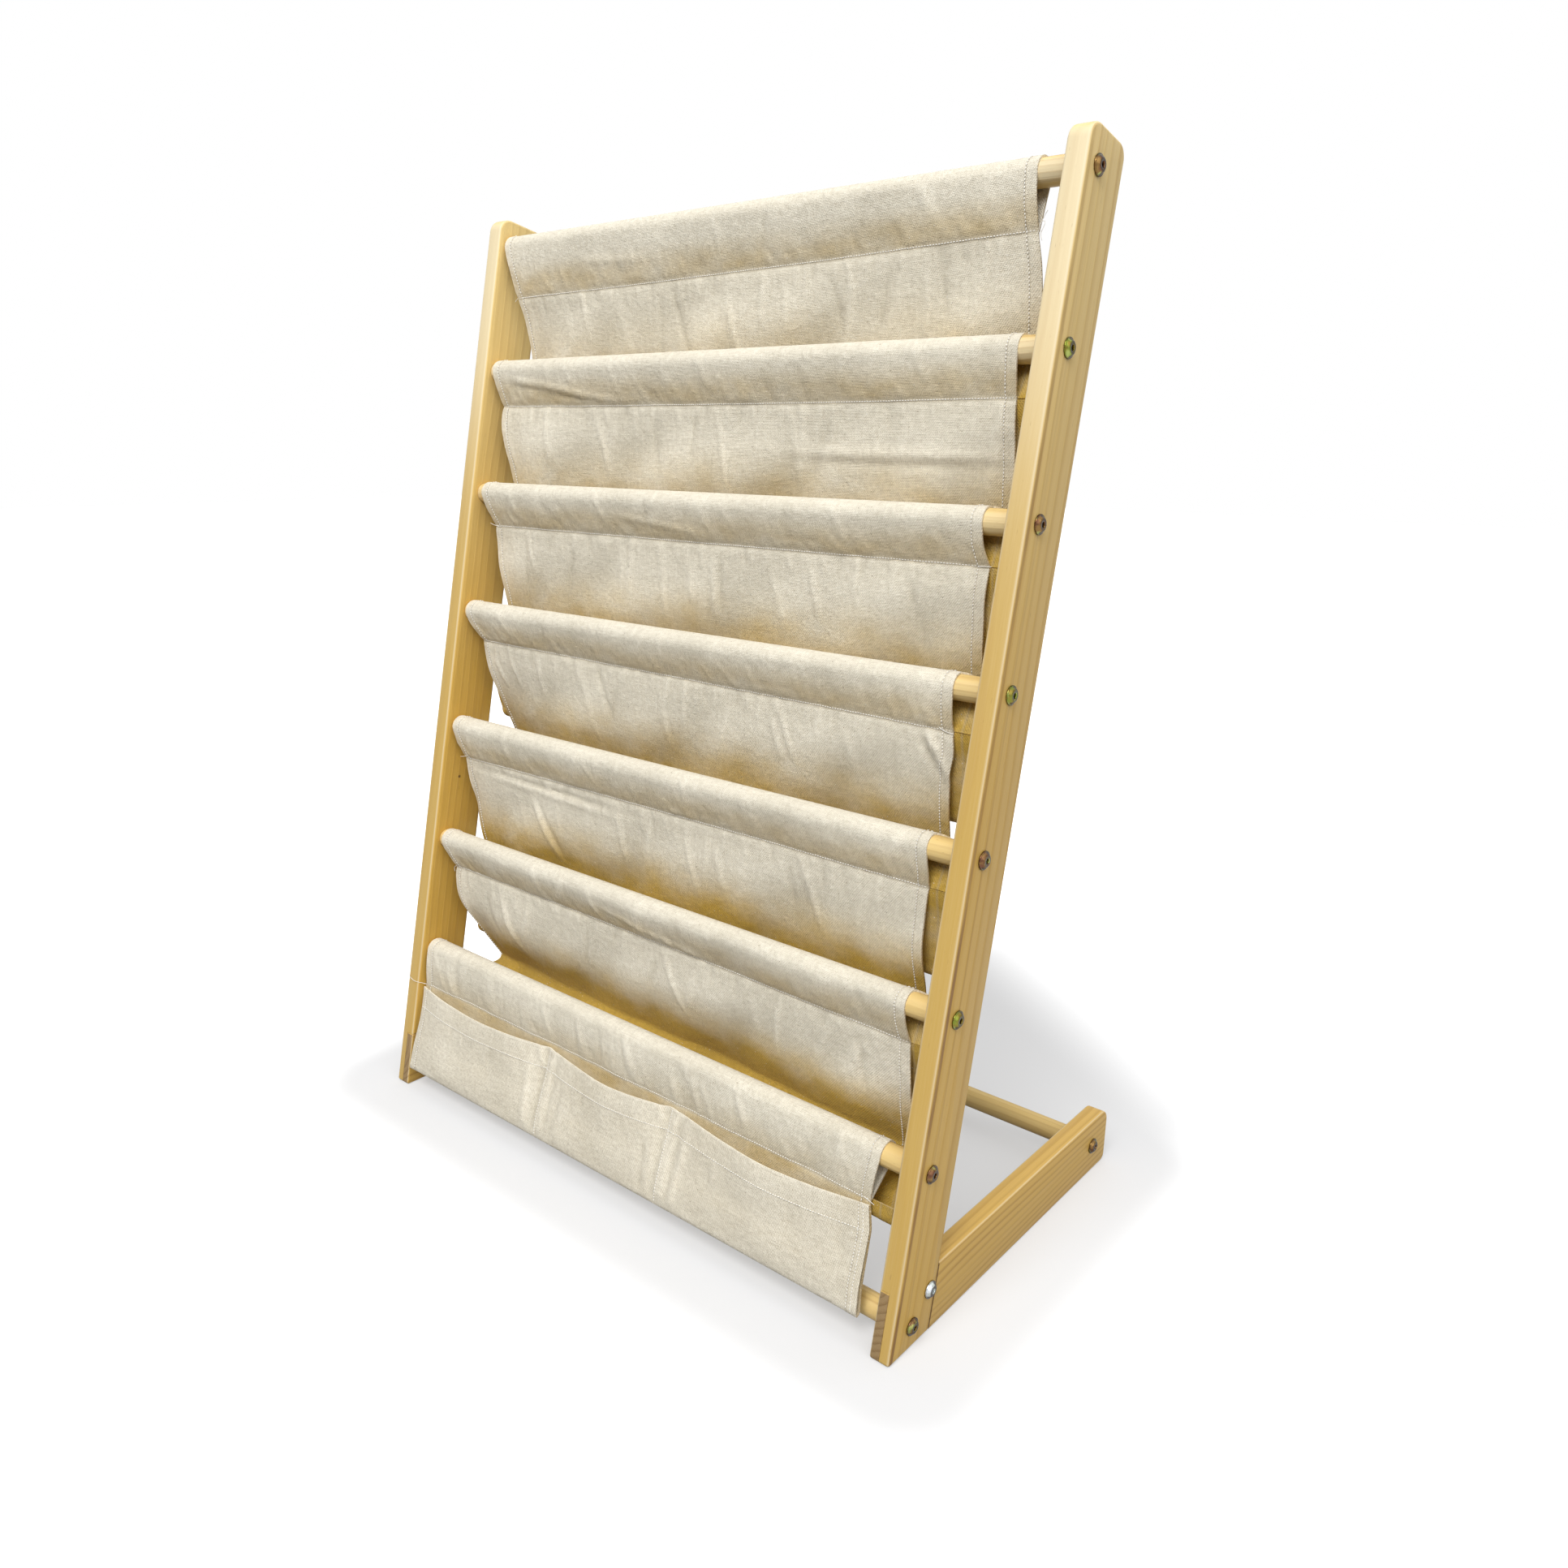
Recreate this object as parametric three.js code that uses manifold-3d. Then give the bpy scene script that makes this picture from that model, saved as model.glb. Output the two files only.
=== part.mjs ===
// A leaning bookshelf for a child's room. Two pine uprights lean back from
// half-lapped floor legs, dowels bolt between them like the rungs of a ladder,
// and canvas slings hang from the dowels as pockets. The lowest dowel carries
// a pouch with three bays. Millimetres, +Z up, front towards -Y, origin on the
// floor under the middle of the footprint.

import * as THREE from 'three';
import { mergeVertices } from 'three/addons/utils/BufferGeometryUtils.js';
import Module from 'manifold-3d';

// Frame
const outerWidth = 646;          // over the outer faces of the boards
const footDepth = 364;           // from the toe of an upright to the end of a leg
const leanAngle = THREE.MathUtils.degToRad(11.7);
const boardThickness = 18;
const boardWidth = 54;           // an upright, seen from the side
const rodSetback = 17;           // front edge of an upright to the line of dowels
const legHeight = 55;
const boardTopMargin = 26;       // above the top dowel, along the lean
const topFrontRadius = 14;
const topRearRadius = 11;
const toeRadius = 4;
const legEndTopRadius = 13;
const legEndBottomRadius = 8;
const edgeRadius = 2.5;          // eased long edges

// Dowels
const rodCount = 7;
const rodPitch = 120;            // along the lean
const lowestRodRise = 147;       // floor to the lowest dowel, along the lean
const rodDiameter = 20;
const rodChamfer = 1;
const socketDepth = 4;           // dowel ends sit in shallow blind sockets
const frontRailHeight = 19.8;
const frontRailSetback = 8.3;    // behind the line of dowels
const rearRailHeight = 28;
const rearRailInset = 30;        // from the end of a leg

// Bolts
const boltDiameter = 6;
const boltLength = 50;
const headDiameter = 16.5;
const headHeight = 3.4;
const headRim = 1;
const crownDiameter = 8;
const keySize = 4;               // across the flats of the hexagon
const keyDepth = 2.4;
const boltTipChamfer = 1;
const tipRoom = 2;               // bore left free past the tip of a bolt
const lapBoltLength = 15;
const lapBoltHeight = 38.7;
const lapBoltInset = 9.5;        // from the rear edge of the upright
const sleeveDiameter = 9;
const sleeveFlangeDiameter = 14;
const sleeveFlange = 1.4;

// Canvas
const sideSpace = 15;            // between the edge of a cloth and the board beside it
const clothThickness = 1.6;
const seamDrop = 36;             // dowel centre to the seam under it
const topSeamExtra = 7;          // the top casing hangs a little lower
const pocketDrop = 104;          // dowel centre to the bottom of its pocket
const pocketRadius = 9;
const pocketSweep = 29;          // back cloth behind the line of dowels at the next dowel
const frontSlack = 3;            // how far the front cloth of a pocket hangs off the one before it
const lastPocketDrop = 50;
const lastPocketSweep = 34;
const lastPocketTilt = 24;       // how much further back the last pocket is at its bottom
const layerSpace = 1.2;          // between two cloths that hang side by side
const foldDepth = 2.6;
const foldPitch = 145;
const seamSet = -2;              // seam in front of the line of dowels
const pouchSeamSet = -7;
const pouchBottomRise = 21;      // floor to the bottom of the pouch
const pouchFrontSet = -16;       // front cloth of the pouch, from the line of dowels
const pouchFoldRadius = 4.5;
const pouchMouthDrop = 6;        // top edge of the bays under the seam
const bayGape = 12;              // how far a bay stands open at its middle

// Clearances
const fit = 0.3;                 // between pieces that touch
const overrun = 5;               // cutters past the faces they cut

// Facets
const rodFacets = 16;
const boltFacets = 12;
const holeFacets = 16;
const cornerFacets = 4;
const edgeFacets = 2;
const slingStations = 8;
const casingStations = 4;
const baySteps = 6;
const archFacets = 6;
const wallSteps = 4;

// Small sideways shifts of the cloths on their dowels, top to bottom, as
// shares of the free space at one end.
const shiftShares = [0.05, -0.1, -0.1, -0.35, -0.45, -0.35, -0.35];
const dividerShares = [0.35, 0.63];      // the two stitched lines of the pouch
const casingWaveShares = [0, 0.9, 0.35, 0.8, 0];
const waistRiseShare = 0.5;              // a casing's waist, on the way from its dowel to its seam
const waistSetShare = 0.35;
const phaseShares = [0.1, 0.45, 0.8, 0.25, 0.6, 0.95];
const mitreLimitShare = 0.5;             // sharpest corner that a cloth keeps its thickness round

// Derived places
const innerHalf = outerWidth / 2 - boardThickness;
const outerHalf = outerWidth / 2;
const rodRadius = rodDiameter / 2;
// The rounding of a toe trims this much off the depth at the floor.
const toeReach = toeRadius / Math.tan((Math.PI / 2 - leanAngle) / 2);
const toeTrim = toeReach * Math.sin(leanAngle) / (1 + Math.sin(leanAngle));
const rodLineY = -footDepth / 2 - toeTrim + rodSetback / Math.cos(leanAngle);
const rearSet = boardWidth - rodSetback;
const topRodRise = lowestRodRise + (rodCount - 1) * rodPitch;
const boardTopRise = topRodRise + boardTopMargin;
const rodRise = (index) => topRodRise - index * rodPitch;      // index 0 is the top dowel
const lapMiddle = innerHalf + boardThickness / 2;
const clothWidth = 2 * (innerHalf - sideSpace);

const pine = new THREE.MeshStandardMaterial({ color: 0xdcc28c, roughness: 0.55, metalness: 0 });
const dowelPine = new THREE.MeshStandardMaterial({ color: 0xe8cf98, roughness: 0.5, metalness: 0 });
const canvas = new THREE.MeshStandardMaterial({ color: 0xd8cfbd, roughness: 0.9, metalness: 0 });
const yellowZinc = new THREE.MeshStandardMaterial({ color: 0xa8863c, roughness: 0.3, metalness: 1 });
const whiteZinc = new THREE.MeshStandardMaterial({ color: 0xc8ccd0, roughness: 0.3, metalness: 1 });

const shelf = new THREE.Group();
const ladder = new THREE.Group();        // leans back: its Z runs up the uprights
ladder.position.set(0, rodLineY, 0);
ladder.rotation.x = -leanAngle;
shelf.add(ladder);

// Booleans
const wasm = await Module();
wasm.setup();

function solidOf(geometry) {
  const bare = geometry.clone();
  bare.deleteAttribute('normal');
  bare.deleteAttribute('uv');
  const merged = mergeVertices(bare);
  const vertProperties = new Float32Array(merged.attributes.position.array);
  const triVerts = new Uint32Array(merged.index.array);
  return new wasm.Manifold(new wasm.Mesh({ numProp: 3, vertProperties, triVerts }));
}

function cutAway(geometry, cutters) {
  let solid = solidOf(geometry);
  for (const cutter of cutters) solid = solid.subtract(solidOf(cutter));
  const mesh = solid.getMesh();
  const result = new THREE.BufferGeometry();
  result.setAttribute('position', new THREE.BufferAttribute(new Float32Array(mesh.vertProperties), 3));
  result.setIndex(new THREE.BufferAttribute(new Uint32Array(mesh.triVerts), 1));
  return result;
}

function addPiece(group, name, geometry, material) {
  geometry.computeVertexNormals();
  const mesh = new THREE.Mesh(geometry, material);
  mesh.name = name;
  group.add(mesh);
}

// An outline drawn in (depth, height) becomes a board that is centred on x = middle.
function board(shape, thickness, middle, bevel) {
  const geometry = new THREE.ExtrudeGeometry(shape, {
    depth: thickness - 2 * bevel,
    bevelEnabled: bevel > 0,
    bevelSize: bevel,
    bevelThickness: bevel,
    bevelOffset: -bevel,
    bevelSegments: edgeFacets,
    curveSegments: cornerFacets,
  });
  geometry.translate(0, 0, -(thickness - 2 * bevel) / 2);
  geometry.rotateY(Math.PI / 2);
  geometry.rotateX(Math.PI / 2);
  geometry.translate(middle, 0, 0);
  return geometry;
}

// A closed outline with a rounded corner wherever a radius is given.
function roundedOutline(corners) {
  const shape = new THREE.Shape();
  corners.forEach(({ at, radius }, i) => {
    const before = corners[(i + corners.length - 1) % corners.length].at;
    const after = corners[(i + 1) % corners.length].at;
    const toBefore = before.clone().sub(at).normalize();
    const toAfter = after.clone().sub(at).normalize();
    const half = Math.acos(toBefore.dot(toAfter)) / 2;
    const reach = radius / Math.tan(half);
    const start = at.clone().addScaledVector(toBefore, reach);
    const end = at.clone().addScaledVector(toAfter, reach);
    if (i === 0) shape.moveTo(start.x, start.y);
    else shape.lineTo(start.x, start.y);
    if (radius > 0) shape.quadraticCurveTo(at.x, at.y, end.x, end.y);
  });
  shape.closePath();
  return shape;
}

const corner = (depth, height, radius = 0) => ({ at: new THREE.Vector2(depth, height), radius });

function crossCylinder(diameter, length, middleX, depth, height) {
  const geometry = new THREE.CylinderGeometry(diameter / 2, diameter / 2, length, holeFacets);
  geometry.rotateZ(Math.PI / 2);
  geometry.translate(middleX, depth, height);
  return geometry;
}

// From a place in the room to one in the leaning frame of the uprights.
function toLadder(depth, height) {
  const back = depth - rodLineY;
  return {
    set: back * Math.cos(leanAngle) - height * Math.sin(leanAngle),
    rise: back * Math.sin(leanAngle) + height * Math.cos(leanAngle),
  };
}

// Where the level line at a height crosses an upright, as its rise at a set.
const levelRise = (height, set) => (height + set * Math.sin(leanAngle)) / Math.cos(leanAngle);
// Where the line of an upright at a set stands in the room at a height.
const leanDepth = (height, set) => rodLineY + set / Math.cos(leanAngle) + height * Math.tan(leanAngle);

const frontRail = { depth: leanDepth(frontRailHeight, frontRailSetback), height: frontRailHeight };
const rearRail = { depth: footDepth / 2 - rearRailInset, height: rearRailHeight };
const lapBolt = { depth: leanDepth(lapBoltHeight, rearSet - lapBoltInset), height: lapBoltHeight };

const boltBore = boltDiameter + 2 * fit;
const socketBore = rodDiameter + 2 * fit;
const sleeveBore = sleeveDiameter + 2 * fit;

function boltHole(side, depth, height) {
  return crossCylinder(boltBore, boardThickness + 2 * overrun, side * lapMiddle, depth, height);
}

function socket(side, depth, height) {
  const length = socketDepth + overrun;
  return crossCylinder(socketBore, length, side * (innerHalf + socketDepth - length / 2), depth, height);
}

// An upright leans back; its inner half stops above the leg, and its outer
// half goes on to the floor as one cheek of the lap.
function upright(side) {
  const outline = roundedOutline([
    corner(-rodSetback, levelRise(0, -rodSetback), toeRadius),
    corner(rearSet, levelRise(0, rearSet)),
    corner(rearSet, boardTopRise, topRearRadius),
    corner(-rodSetback, boardTopRise, topFrontRadius),
  ]);
  const lapTop = legHeight + fit;
  const lapOutline = roundedOutline([
    corner(-rodSetback - overrun, levelRise(-overrun, -rodSetback - overrun)),
    corner(rearSet + overrun, levelRise(-overrun, rearSet + overrun)),
    corner(rearSet + overrun, levelRise(lapTop, rearSet + overrun)),
    corner(-rodSetback - overrun, levelRise(lapTop, -rodSetback - overrun)),
  ]);
  const lapThickness = boardThickness / 2 + fit / 2 + overrun;
  const lapCentre = side * (lapMiddle + fit / 2 - lapThickness / 2);
  const cutters = [board(lapOutline, lapThickness, lapCentre, 0)];
  for (let i = 0; i < rodCount; i++) {
    cutters.push(boltHole(side, 0, rodRise(i)), socket(side, 0, rodRise(i)));
  }
  for (const place of [frontRail, lapBolt]) {
    const { set, rise } = toLadder(place.depth, place.height);
    cutters.push(boltHole(side, set, rise));
  }
  return cutAway(board(outline, boardThickness, side * lapMiddle, edgeRadius), cutters);
}

// A leg lies on the floor. Its front end is cut to the lean of the upright,
// and there only its inner half is left, inside the cheek of the upright.
function leg(side) {
  const outline = roundedOutline([
    corner(leanDepth(0, -rodSetback), 0, toeRadius),
    corner(footDepth / 2, 0, legEndBottomRadius),
    corner(footDepth / 2, legHeight, legEndTopRadius),
    corner(leanDepth(legHeight, -rodSetback), legHeight),
  ]);
  const lapOutline = roundedOutline([
    corner(leanDepth(-overrun, -rodSetback - overrun), -overrun),
    corner(leanDepth(-overrun, rearSet + fit), -overrun),
    corner(leanDepth(legHeight + overrun, rearSet + fit), legHeight + overrun),
    corner(leanDepth(legHeight + overrun, -rodSetback - overrun), legHeight + overrun),
  ]);
  const lapThickness = boardThickness / 2 + fit / 2 + overrun;
  const lapCentre = side * (lapMiddle - fit / 2 + lapThickness / 2);
  const cutters = [
    board(lapOutline, lapThickness, lapCentre, 0),
    boltHole(side, frontRail.depth, frontRail.height),
    socket(side, frontRail.depth, frontRail.height),
    boltHole(side, rearRail.depth, rearRail.height),
    socket(side, rearRail.depth, rearRail.height),
    crossCylinder(sleeveBore, boardThickness, side * (lapMiddle - boardThickness / 2),
      lapBolt.depth, lapBolt.height),
  ];
  return cutAway(board(outline, boardThickness, side * lapMiddle, edgeRadius), cutters);
}

// A dowel or rail along X, with a bore in each end for its bolt.
const rodHalf = innerHalf + socketDepth - fit;
function dowel() {
  const boreEnd = outerHalf - boltLength - tipRoom;
  const bore = boltBore / 2;
  const end = [
    [0, boreEnd], [bore, boreEnd], [bore, rodHalf], [rodRadius - rodChamfer, rodHalf],
    [rodRadius, rodHalf - rodChamfer],
  ];
  const profile = [
    ...end.map(([radius, along]) => new THREE.Vector2(radius, -along)),
    ...end.reverse().map(([radius, along]) => new THREE.Vector2(radius, along)),
  ];
  const geometry = new THREE.LatheGeometry(profile, rodFacets);
  geometry.rotateZ(-Math.PI / 2);
  return geometry;
}

// A domed bolt with a hexagon key hole. Its head seats at y = 0 before it is turned.
function bolt(length) {
  const shank = boltDiameter / 2;
  const profile = [
    [0, -length], [shank - boltTipChamfer, -length], [shank, boltTipChamfer - length], [shank, 0],
    [headDiameter / 2, 0], [headDiameter / 2, headRim], [crownDiameter / 2, headHeight], [0, headHeight],
  ].map(([radius, along]) => new THREE.Vector2(radius, along));
  const body = new THREE.LatheGeometry(profile, boltFacets);
  const keyRadius = keySize / Math.sqrt(3);
  const key = new THREE.CylinderGeometry(keyRadius, keyRadius, keyDepth + overrun, 6);
  key.translate(0, headHeight - keyDepth + (keyDepth + overrun) / 2, 0);
  return cutAway(body, [key]);
}

function addBolt(group, name, side, depth, height, length, material) {
  const geometry = bolt(length);
  geometry.rotateZ(-side * Math.PI / 2);
  geometry.translate(side * (outerHalf + fit), depth, height);
  addPiece(group, name, geometry, material);
}

// The flanged sleeve nut that takes the lap bolt from the inner face of a leg.
function sleeveNut(side) {
  const flangeFace = innerHalf - fit;
  const tip = innerHalf + boardThickness / 2 - 2 * fit;
  const bore = boltBore / 2;
  const profile = [
    [0, flangeFace - sleeveFlange], [sleeveFlangeDiameter / 2, flangeFace - sleeveFlange],
    [sleeveFlangeDiameter / 2, flangeFace], [sleeveDiameter / 2, flangeFace],
    [sleeveDiameter / 2, tip], [bore, tip], [bore, flangeFace], [0, flangeFace],
  ].map(([radius, along]) => new THREE.Vector2(radius, along));
  const geometry = new THREE.LatheGeometry(profile, boltFacets);
  geometry.rotateZ(-side * Math.PI / 2);
  geometry.translate(0, lapBolt.depth, lapBolt.height);
  return geometry;
}

// Canvas. A cloth is lofted from rings that stand at stations along X; each
// ring holds the points of a section in the leaning frame as (set, rise).
function loft(rings, stations, closed) {
  const count = rings[0].outer.length;
  const positions = [];
  const index = [];
  rings.forEach((ring, s) => {
    for (const side of [ring.outer, ring.inner]) {
      for (const point of side) positions.push(stations[s], point.x, point.y);
    }
  });
  const at = (s, layer, i) => s * 2 * count + layer * count + (i % count);
  const quad = (a, b, c, d) => index.push(a, b, c, a, c, d);
  const spans = closed ? count : count - 1;
  for (let s = 0; s < rings.length - 1; s++) {
    for (let i = 0; i < spans; i++) {
      quad(at(s, 0, i), at(s, 0, i + 1), at(s + 1, 0, i + 1), at(s + 1, 0, i));
      quad(at(s, 1, i + 1), at(s, 1, i), at(s + 1, 1, i), at(s + 1, 1, i + 1));
    }
    if (!closed) {
      const last = count - 1;
      quad(at(s, 1, 0), at(s, 0, 0), at(s + 1, 0, 0), at(s + 1, 1, 0));
      quad(at(s, 0, last), at(s, 1, last), at(s + 1, 1, last), at(s + 1, 0, last));
    }
  }
  const far = rings.length - 1;
  for (let i = 0; i < spans; i++) {
    quad(at(0, 0, i + 1), at(0, 0, i), at(0, 1, i), at(0, 1, i + 1));
    quad(at(far, 0, i), at(far, 0, i + 1), at(far, 1, i + 1), at(far, 1, i));
  }
  const geometry = new THREE.BufferGeometry();
  geometry.setAttribute('position', new THREE.BufferAttribute(new Float32Array(positions), 3));
  geometry.setIndex(facingOut(positions, index));
  return geometry;
}

// Turns every triangle over when the body came out inside out.
function facingOut(positions, index) {
  const corners = [new THREE.Vector3(), new THREE.Vector3(), new THREE.Vector3()];
  let volume = 0;
  for (let i = 0; i < index.length; i += 3) {
    corners.forEach((vector, k) => vector.fromArray(positions, 3 * index[i + k]));
    volume += corners[0].dot(corners[1].clone().cross(corners[2]));
  }
  if (volume > 0) return index;
  for (let i = 0; i < index.length; i += 3) [index[i], index[i + 1]] = [index[i + 1], index[i]];
  return index;
}

// The two faces of a cloth whose middle line is given in a section.
function faces(line, closed) {
  const outer = [];
  const inner = [];
  line.forEach((point, i) => {
    const before = line[closed ? (i + line.length - 1) % line.length : Math.max(i - 1, 0)];
    const after = line[closed ? (i + 1) % line.length : Math.min(i + 1, line.length - 1)];
    const first = point.clone().sub(before).normalize();
    const second = after.clone().sub(point).normalize();
    const along = first.clone().add(second).normalize();
    const mitre = Math.max(along.dot(second.lengthSq() ? second : first), mitreLimitShare);
    const normal = new THREE.Vector2(along.y, -along.x).multiplyScalar(clothThickness / 2 / mitre);
    outer.push(point.clone().add(normal));
    inner.push(point.clone().sub(normal));
  });
  return { outer, inner };
}

const point = (set, rise) => new THREE.Vector2(set, rise);
const blend = (from, to, share) => from + (to - from) * share;
const easeShare = (share) => share * share * (3 - 2 * share);

function spread(left, right, steps) {
  return Array.from({ length: steps + 1 }, (_, i) => blend(left, right, i / steps));
}

const clothLeft = (tier) => -clothWidth / 2 + shiftShares[tier] * sideSpace;
const seamAt = (tier) => ({
  set: tier === rodCount - 1 ? pouchSeamSet : seamSet,
  rise: rodRise(tier) - seamDrop - (tier === 0 ? topSeamExtra : 0),
});

// A casing goes round its dowel and closes in a seam below it. Its front
// cloth bulges a little between dowel and seam.
function casing(tier) {
  const seam = seamAt(tier);
  const rise = rodRise(tier);
  const wrap = (rodRadius + fit) / Math.cos(Math.PI / (2 * archFacets)) + clothThickness / 2;
  const gather = (clothThickness + fit) / 2;
  const left = clothLeft(tier);
  const stations = spread(left, left + clothWidth, casingStations);
  const rings = stations.map((_, s) => {
    const bulge = foldDepth / 2 * casingWaveShares[s];
    const line = [];
    for (let i = 0; i <= archFacets; i++) {
      const turn = Math.PI - Math.PI * i / archFacets;
      line.push(point(wrap * Math.cos(turn), rise + wrap * Math.sin(turn)));
    }
    const waist = blend(rise, seam.rise, waistRiseShare);
    line.push(point(blend(wrap, seam.set + gather, waistSetShare), waist));
    line.push(point(seam.set + gather, seam.rise + clothThickness / 2));
    line.push(point(seam.set - gather, seam.rise + clothThickness / 2));
    line.push(point(blend(-wrap, seam.set - gather, waistSetShare) - bulge, waist));
    return faces(line, true);
  });
  return loft(rings, stations, true);
}

// The back cloth of a tier, as its set at a rise: it eases back from its seam
// until it stands clear behind the next dowel.
const halfGap = (clothThickness + layerSpace) / 2;
function backClothSet(tier, rise) {
  const seam = seamAt(tier);
  const share = (seam.rise - rise) / (seam.rise - rodRise(tier + 1));
  const sweep = tier === rodCount - 2 ? lastPocketSweep : pocketSweep;
  return blend(seam.set - halfGap, sweep, easeShare(Math.min(share, 1)));
}

// One tier of the slings: the cloth leaves the seam of its own dowel, sweeps
// back behind the next dowel, turns round the bottom of the pocket and comes
// up to the next seam, just behind the back cloth of the tier below.
function sling(tier) {
  const last = tier === rodCount - 2;
  const start = seamAt(tier);
  const finish = seamAt(tier + 1);
  const next = rodRise(tier + 1);
  const bottom = next - (last ? lastPocketDrop : pocketDrop) + pocketRadius;
  const top = finish.rise - fit;
  const frontSet = (rise) => {
    if (last) return finish.set + halfGap;
    const down = (top - rise) / (top - bottom);
    return backClothSet(tier + 1, rise) + 2 * halfGap + frontSlack * easeShare(down);
  };
  const sweep = backClothSet(tier, next);
  const backSet = last ? sweep + lastPocketTilt : frontSet(bottom) + 2 * pocketRadius;
  const left = clothLeft(tier);
  const stations = spread(left, left + clothWidth, slingStations);
  const rings = stations.map((x) => {
    const wave = (1 - Math.cos(2 * Math.PI * ((x - left) / foldPitch + phaseShares[tier]))) / 2;
    const line = [];
    for (let i = 0; i <= wallSteps; i++) {
      const share = i / wallSteps;
      const rise = blend(start.rise - fit, next, share);
      const fold = foldDepth * wave * Math.sin(Math.PI * share);
      line.push(point(backClothSet(tier, rise) - fold, rise));
    }
    for (let i = 1; i < wallSteps; i++) {
      const share = i / wallSteps;
      line.push(point(blend(sweep, backSet, share), blend(next, bottom, share)));
    }
    const middle = (backSet + frontSet(bottom)) / 2;
    const across = (backSet - frontSet(bottom)) / 2;
    const sag = pocketRadius + foldDepth / 2 * (wave - 1);
    for (let i = 0; i <= archFacets; i++) {
      const turn = Math.PI * i / archFacets;
      line.push(point(middle + across * Math.cos(turn), bottom - sag * Math.sin(turn)));
    }
    for (let i = 1; i <= wallSteps; i++) {
      const rise = blend(bottom, top, i / wallSteps);
      line.push(point(frontSet(rise), rise));
    }
    return faces(line, false);
  });
  return loft(rings, stations, false);
}

// The pouch hangs from the lowest seam: a back cloth that turns up at its foot, and
// a front cloth stitched to it at the sides and along two lines, so that three bays
// stand open. Both parts are lofted over the same stations.
function pouchPlan() {
  const tier = rodCount - 1;
  const seam = seamAt(tier);
  const from = point(seam.set - halfGap, seam.rise - fit);
  const backSet = pouchFrontSet + 2 * pouchFoldRadius;
  const bottom = levelRise(pouchBottomRise, pouchFrontSet) + pouchFoldRadius;
  const edges = [0, ...dividerShares, 1];
  const shares = [];
  for (let bay = 0; bay < edges.length - 1; bay++) {
    for (let i = 0; i < baySteps; i++) shares.push({ bay, share: i / baySteps });
  }
  shares.push({ bay: edges.length - 2, share: 1 });
  const left = clothLeft(tier);
  const stations = shares.map(({ bay, share }) => left + clothWidth * blend(edges[bay], edges[bay + 1], share));
  return { seam, from, backSet, bottom, shares, stations };
}

function pouchBack() {
  const { from, backSet, bottom, shares, stations } = pouchPlan();
  const line = [];
  for (let i = 0; i <= wallSteps; i++) {
    const down = i / wallSteps;
    line.push(point(blend(from.x, backSet, easeShare(down)), blend(from.y, bottom, down)));
  }
  for (let i = 1; i <= archFacets; i++) {
    const turn = Math.PI * i / archFacets;
    line.push(point((backSet + pouchFrontSet) / 2 + pouchFoldRadius * Math.cos(turn),
      bottom - pouchFoldRadius * Math.sin(turn)));
  }
  return loft(shares.map(() => faces(line, false)), stations, false);
}

function pouchFront() {
  const { seam, from, backSet, bottom, shares, stations } = pouchPlan();
  const mouth = seam.rise - pouchMouthDrop;
  const foot = bottom + fit;
  const closedMouth = blend(from.x, backSet, easeShare((from.y - mouth) / (from.y - bottom)));
  const edgeSet = closedMouth - clothThickness - fit;
  const rings = shares.map(({ share }) => {
    const gape = bayGape * Math.sin(Math.PI * share) ** 2;
    const line = [];
    for (let i = 0; i <= wallSteps; i++) {
      const up = i / wallSteps;
      line.push(point(blend(pouchFrontSet, edgeSet, easeShare(up)) - gape * easeShare(up), blend(foot, mouth, up)));
    }
    return faces(line, false);
  });
  return loft(rings, stations, false);
}

// Assembly
for (const [label, side] of [['left', -1], ['right', 1]]) {
  addPiece(ladder, `${label}_upright`, upright(side), pine);
  addPiece(shelf, `${label}_leg`, leg(side), pine);
  for (let i = 0; i < rodCount; i++) {
    addBolt(ladder, `${label}_rod_bolt_${i + 1}`, side, 0, rodRise(i), boltLength, yellowZinc);
  }
  addBolt(shelf, `${label}_front_rail_bolt`, side, frontRail.depth, frontRail.height, boltLength, yellowZinc);
  addBolt(shelf, `${label}_rear_rail_bolt`, side, rearRail.depth, rearRail.height, boltLength, yellowZinc);
  addBolt(shelf, `${label}_lap_bolt`, side, lapBolt.depth, lapBolt.height, lapBoltLength, whiteZinc);
  addPiece(shelf, `${label}_lap_nut`, sleeveNut(side), whiteZinc);
}

for (let i = 0; i < rodCount; i++) {
  const rod = dowel();
  rod.translate(0, 0, rodRise(i));
  addPiece(ladder, `rod_${i + 1}`, rod, dowelPine);
}
for (const [name, place] of [['front_rail', frontRail], ['rear_rail', rearRail]]) {
  const rail = dowel();
  rail.translate(0, place.depth, place.height);
  addPiece(shelf, name, rail, dowelPine);
}

for (let tier = 0; tier < rodCount; tier++) {
  addPiece(ladder, `casing_${tier + 1}`, casing(tier), canvas);
  if (tier < rodCount - 1) addPiece(ladder, `sling_${tier + 1}`, sling(tier), canvas);
}
addPiece(ladder, 'pouch_back', pouchBack(), canvas);
addPiece(ladder, 'pouch_front', pouchFront(), canvas);

export default shelf;
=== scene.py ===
"""A leaning bookshelf of pine and canvas, dressed for a picture.

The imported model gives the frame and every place; the boards, dowels, bolts and
cloths are modelled round it. Lengths inside the functions are in millimetres
unless they say otherwise, and are turned to metres where a mesh is made.
"""

import math
import random

import bmesh
import bpy
import numpy as np
from bpy.props import FloatProperty, FloatVectorProperty, IntProperty, PointerProperty
from mathutils import Matrix, Vector


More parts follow.
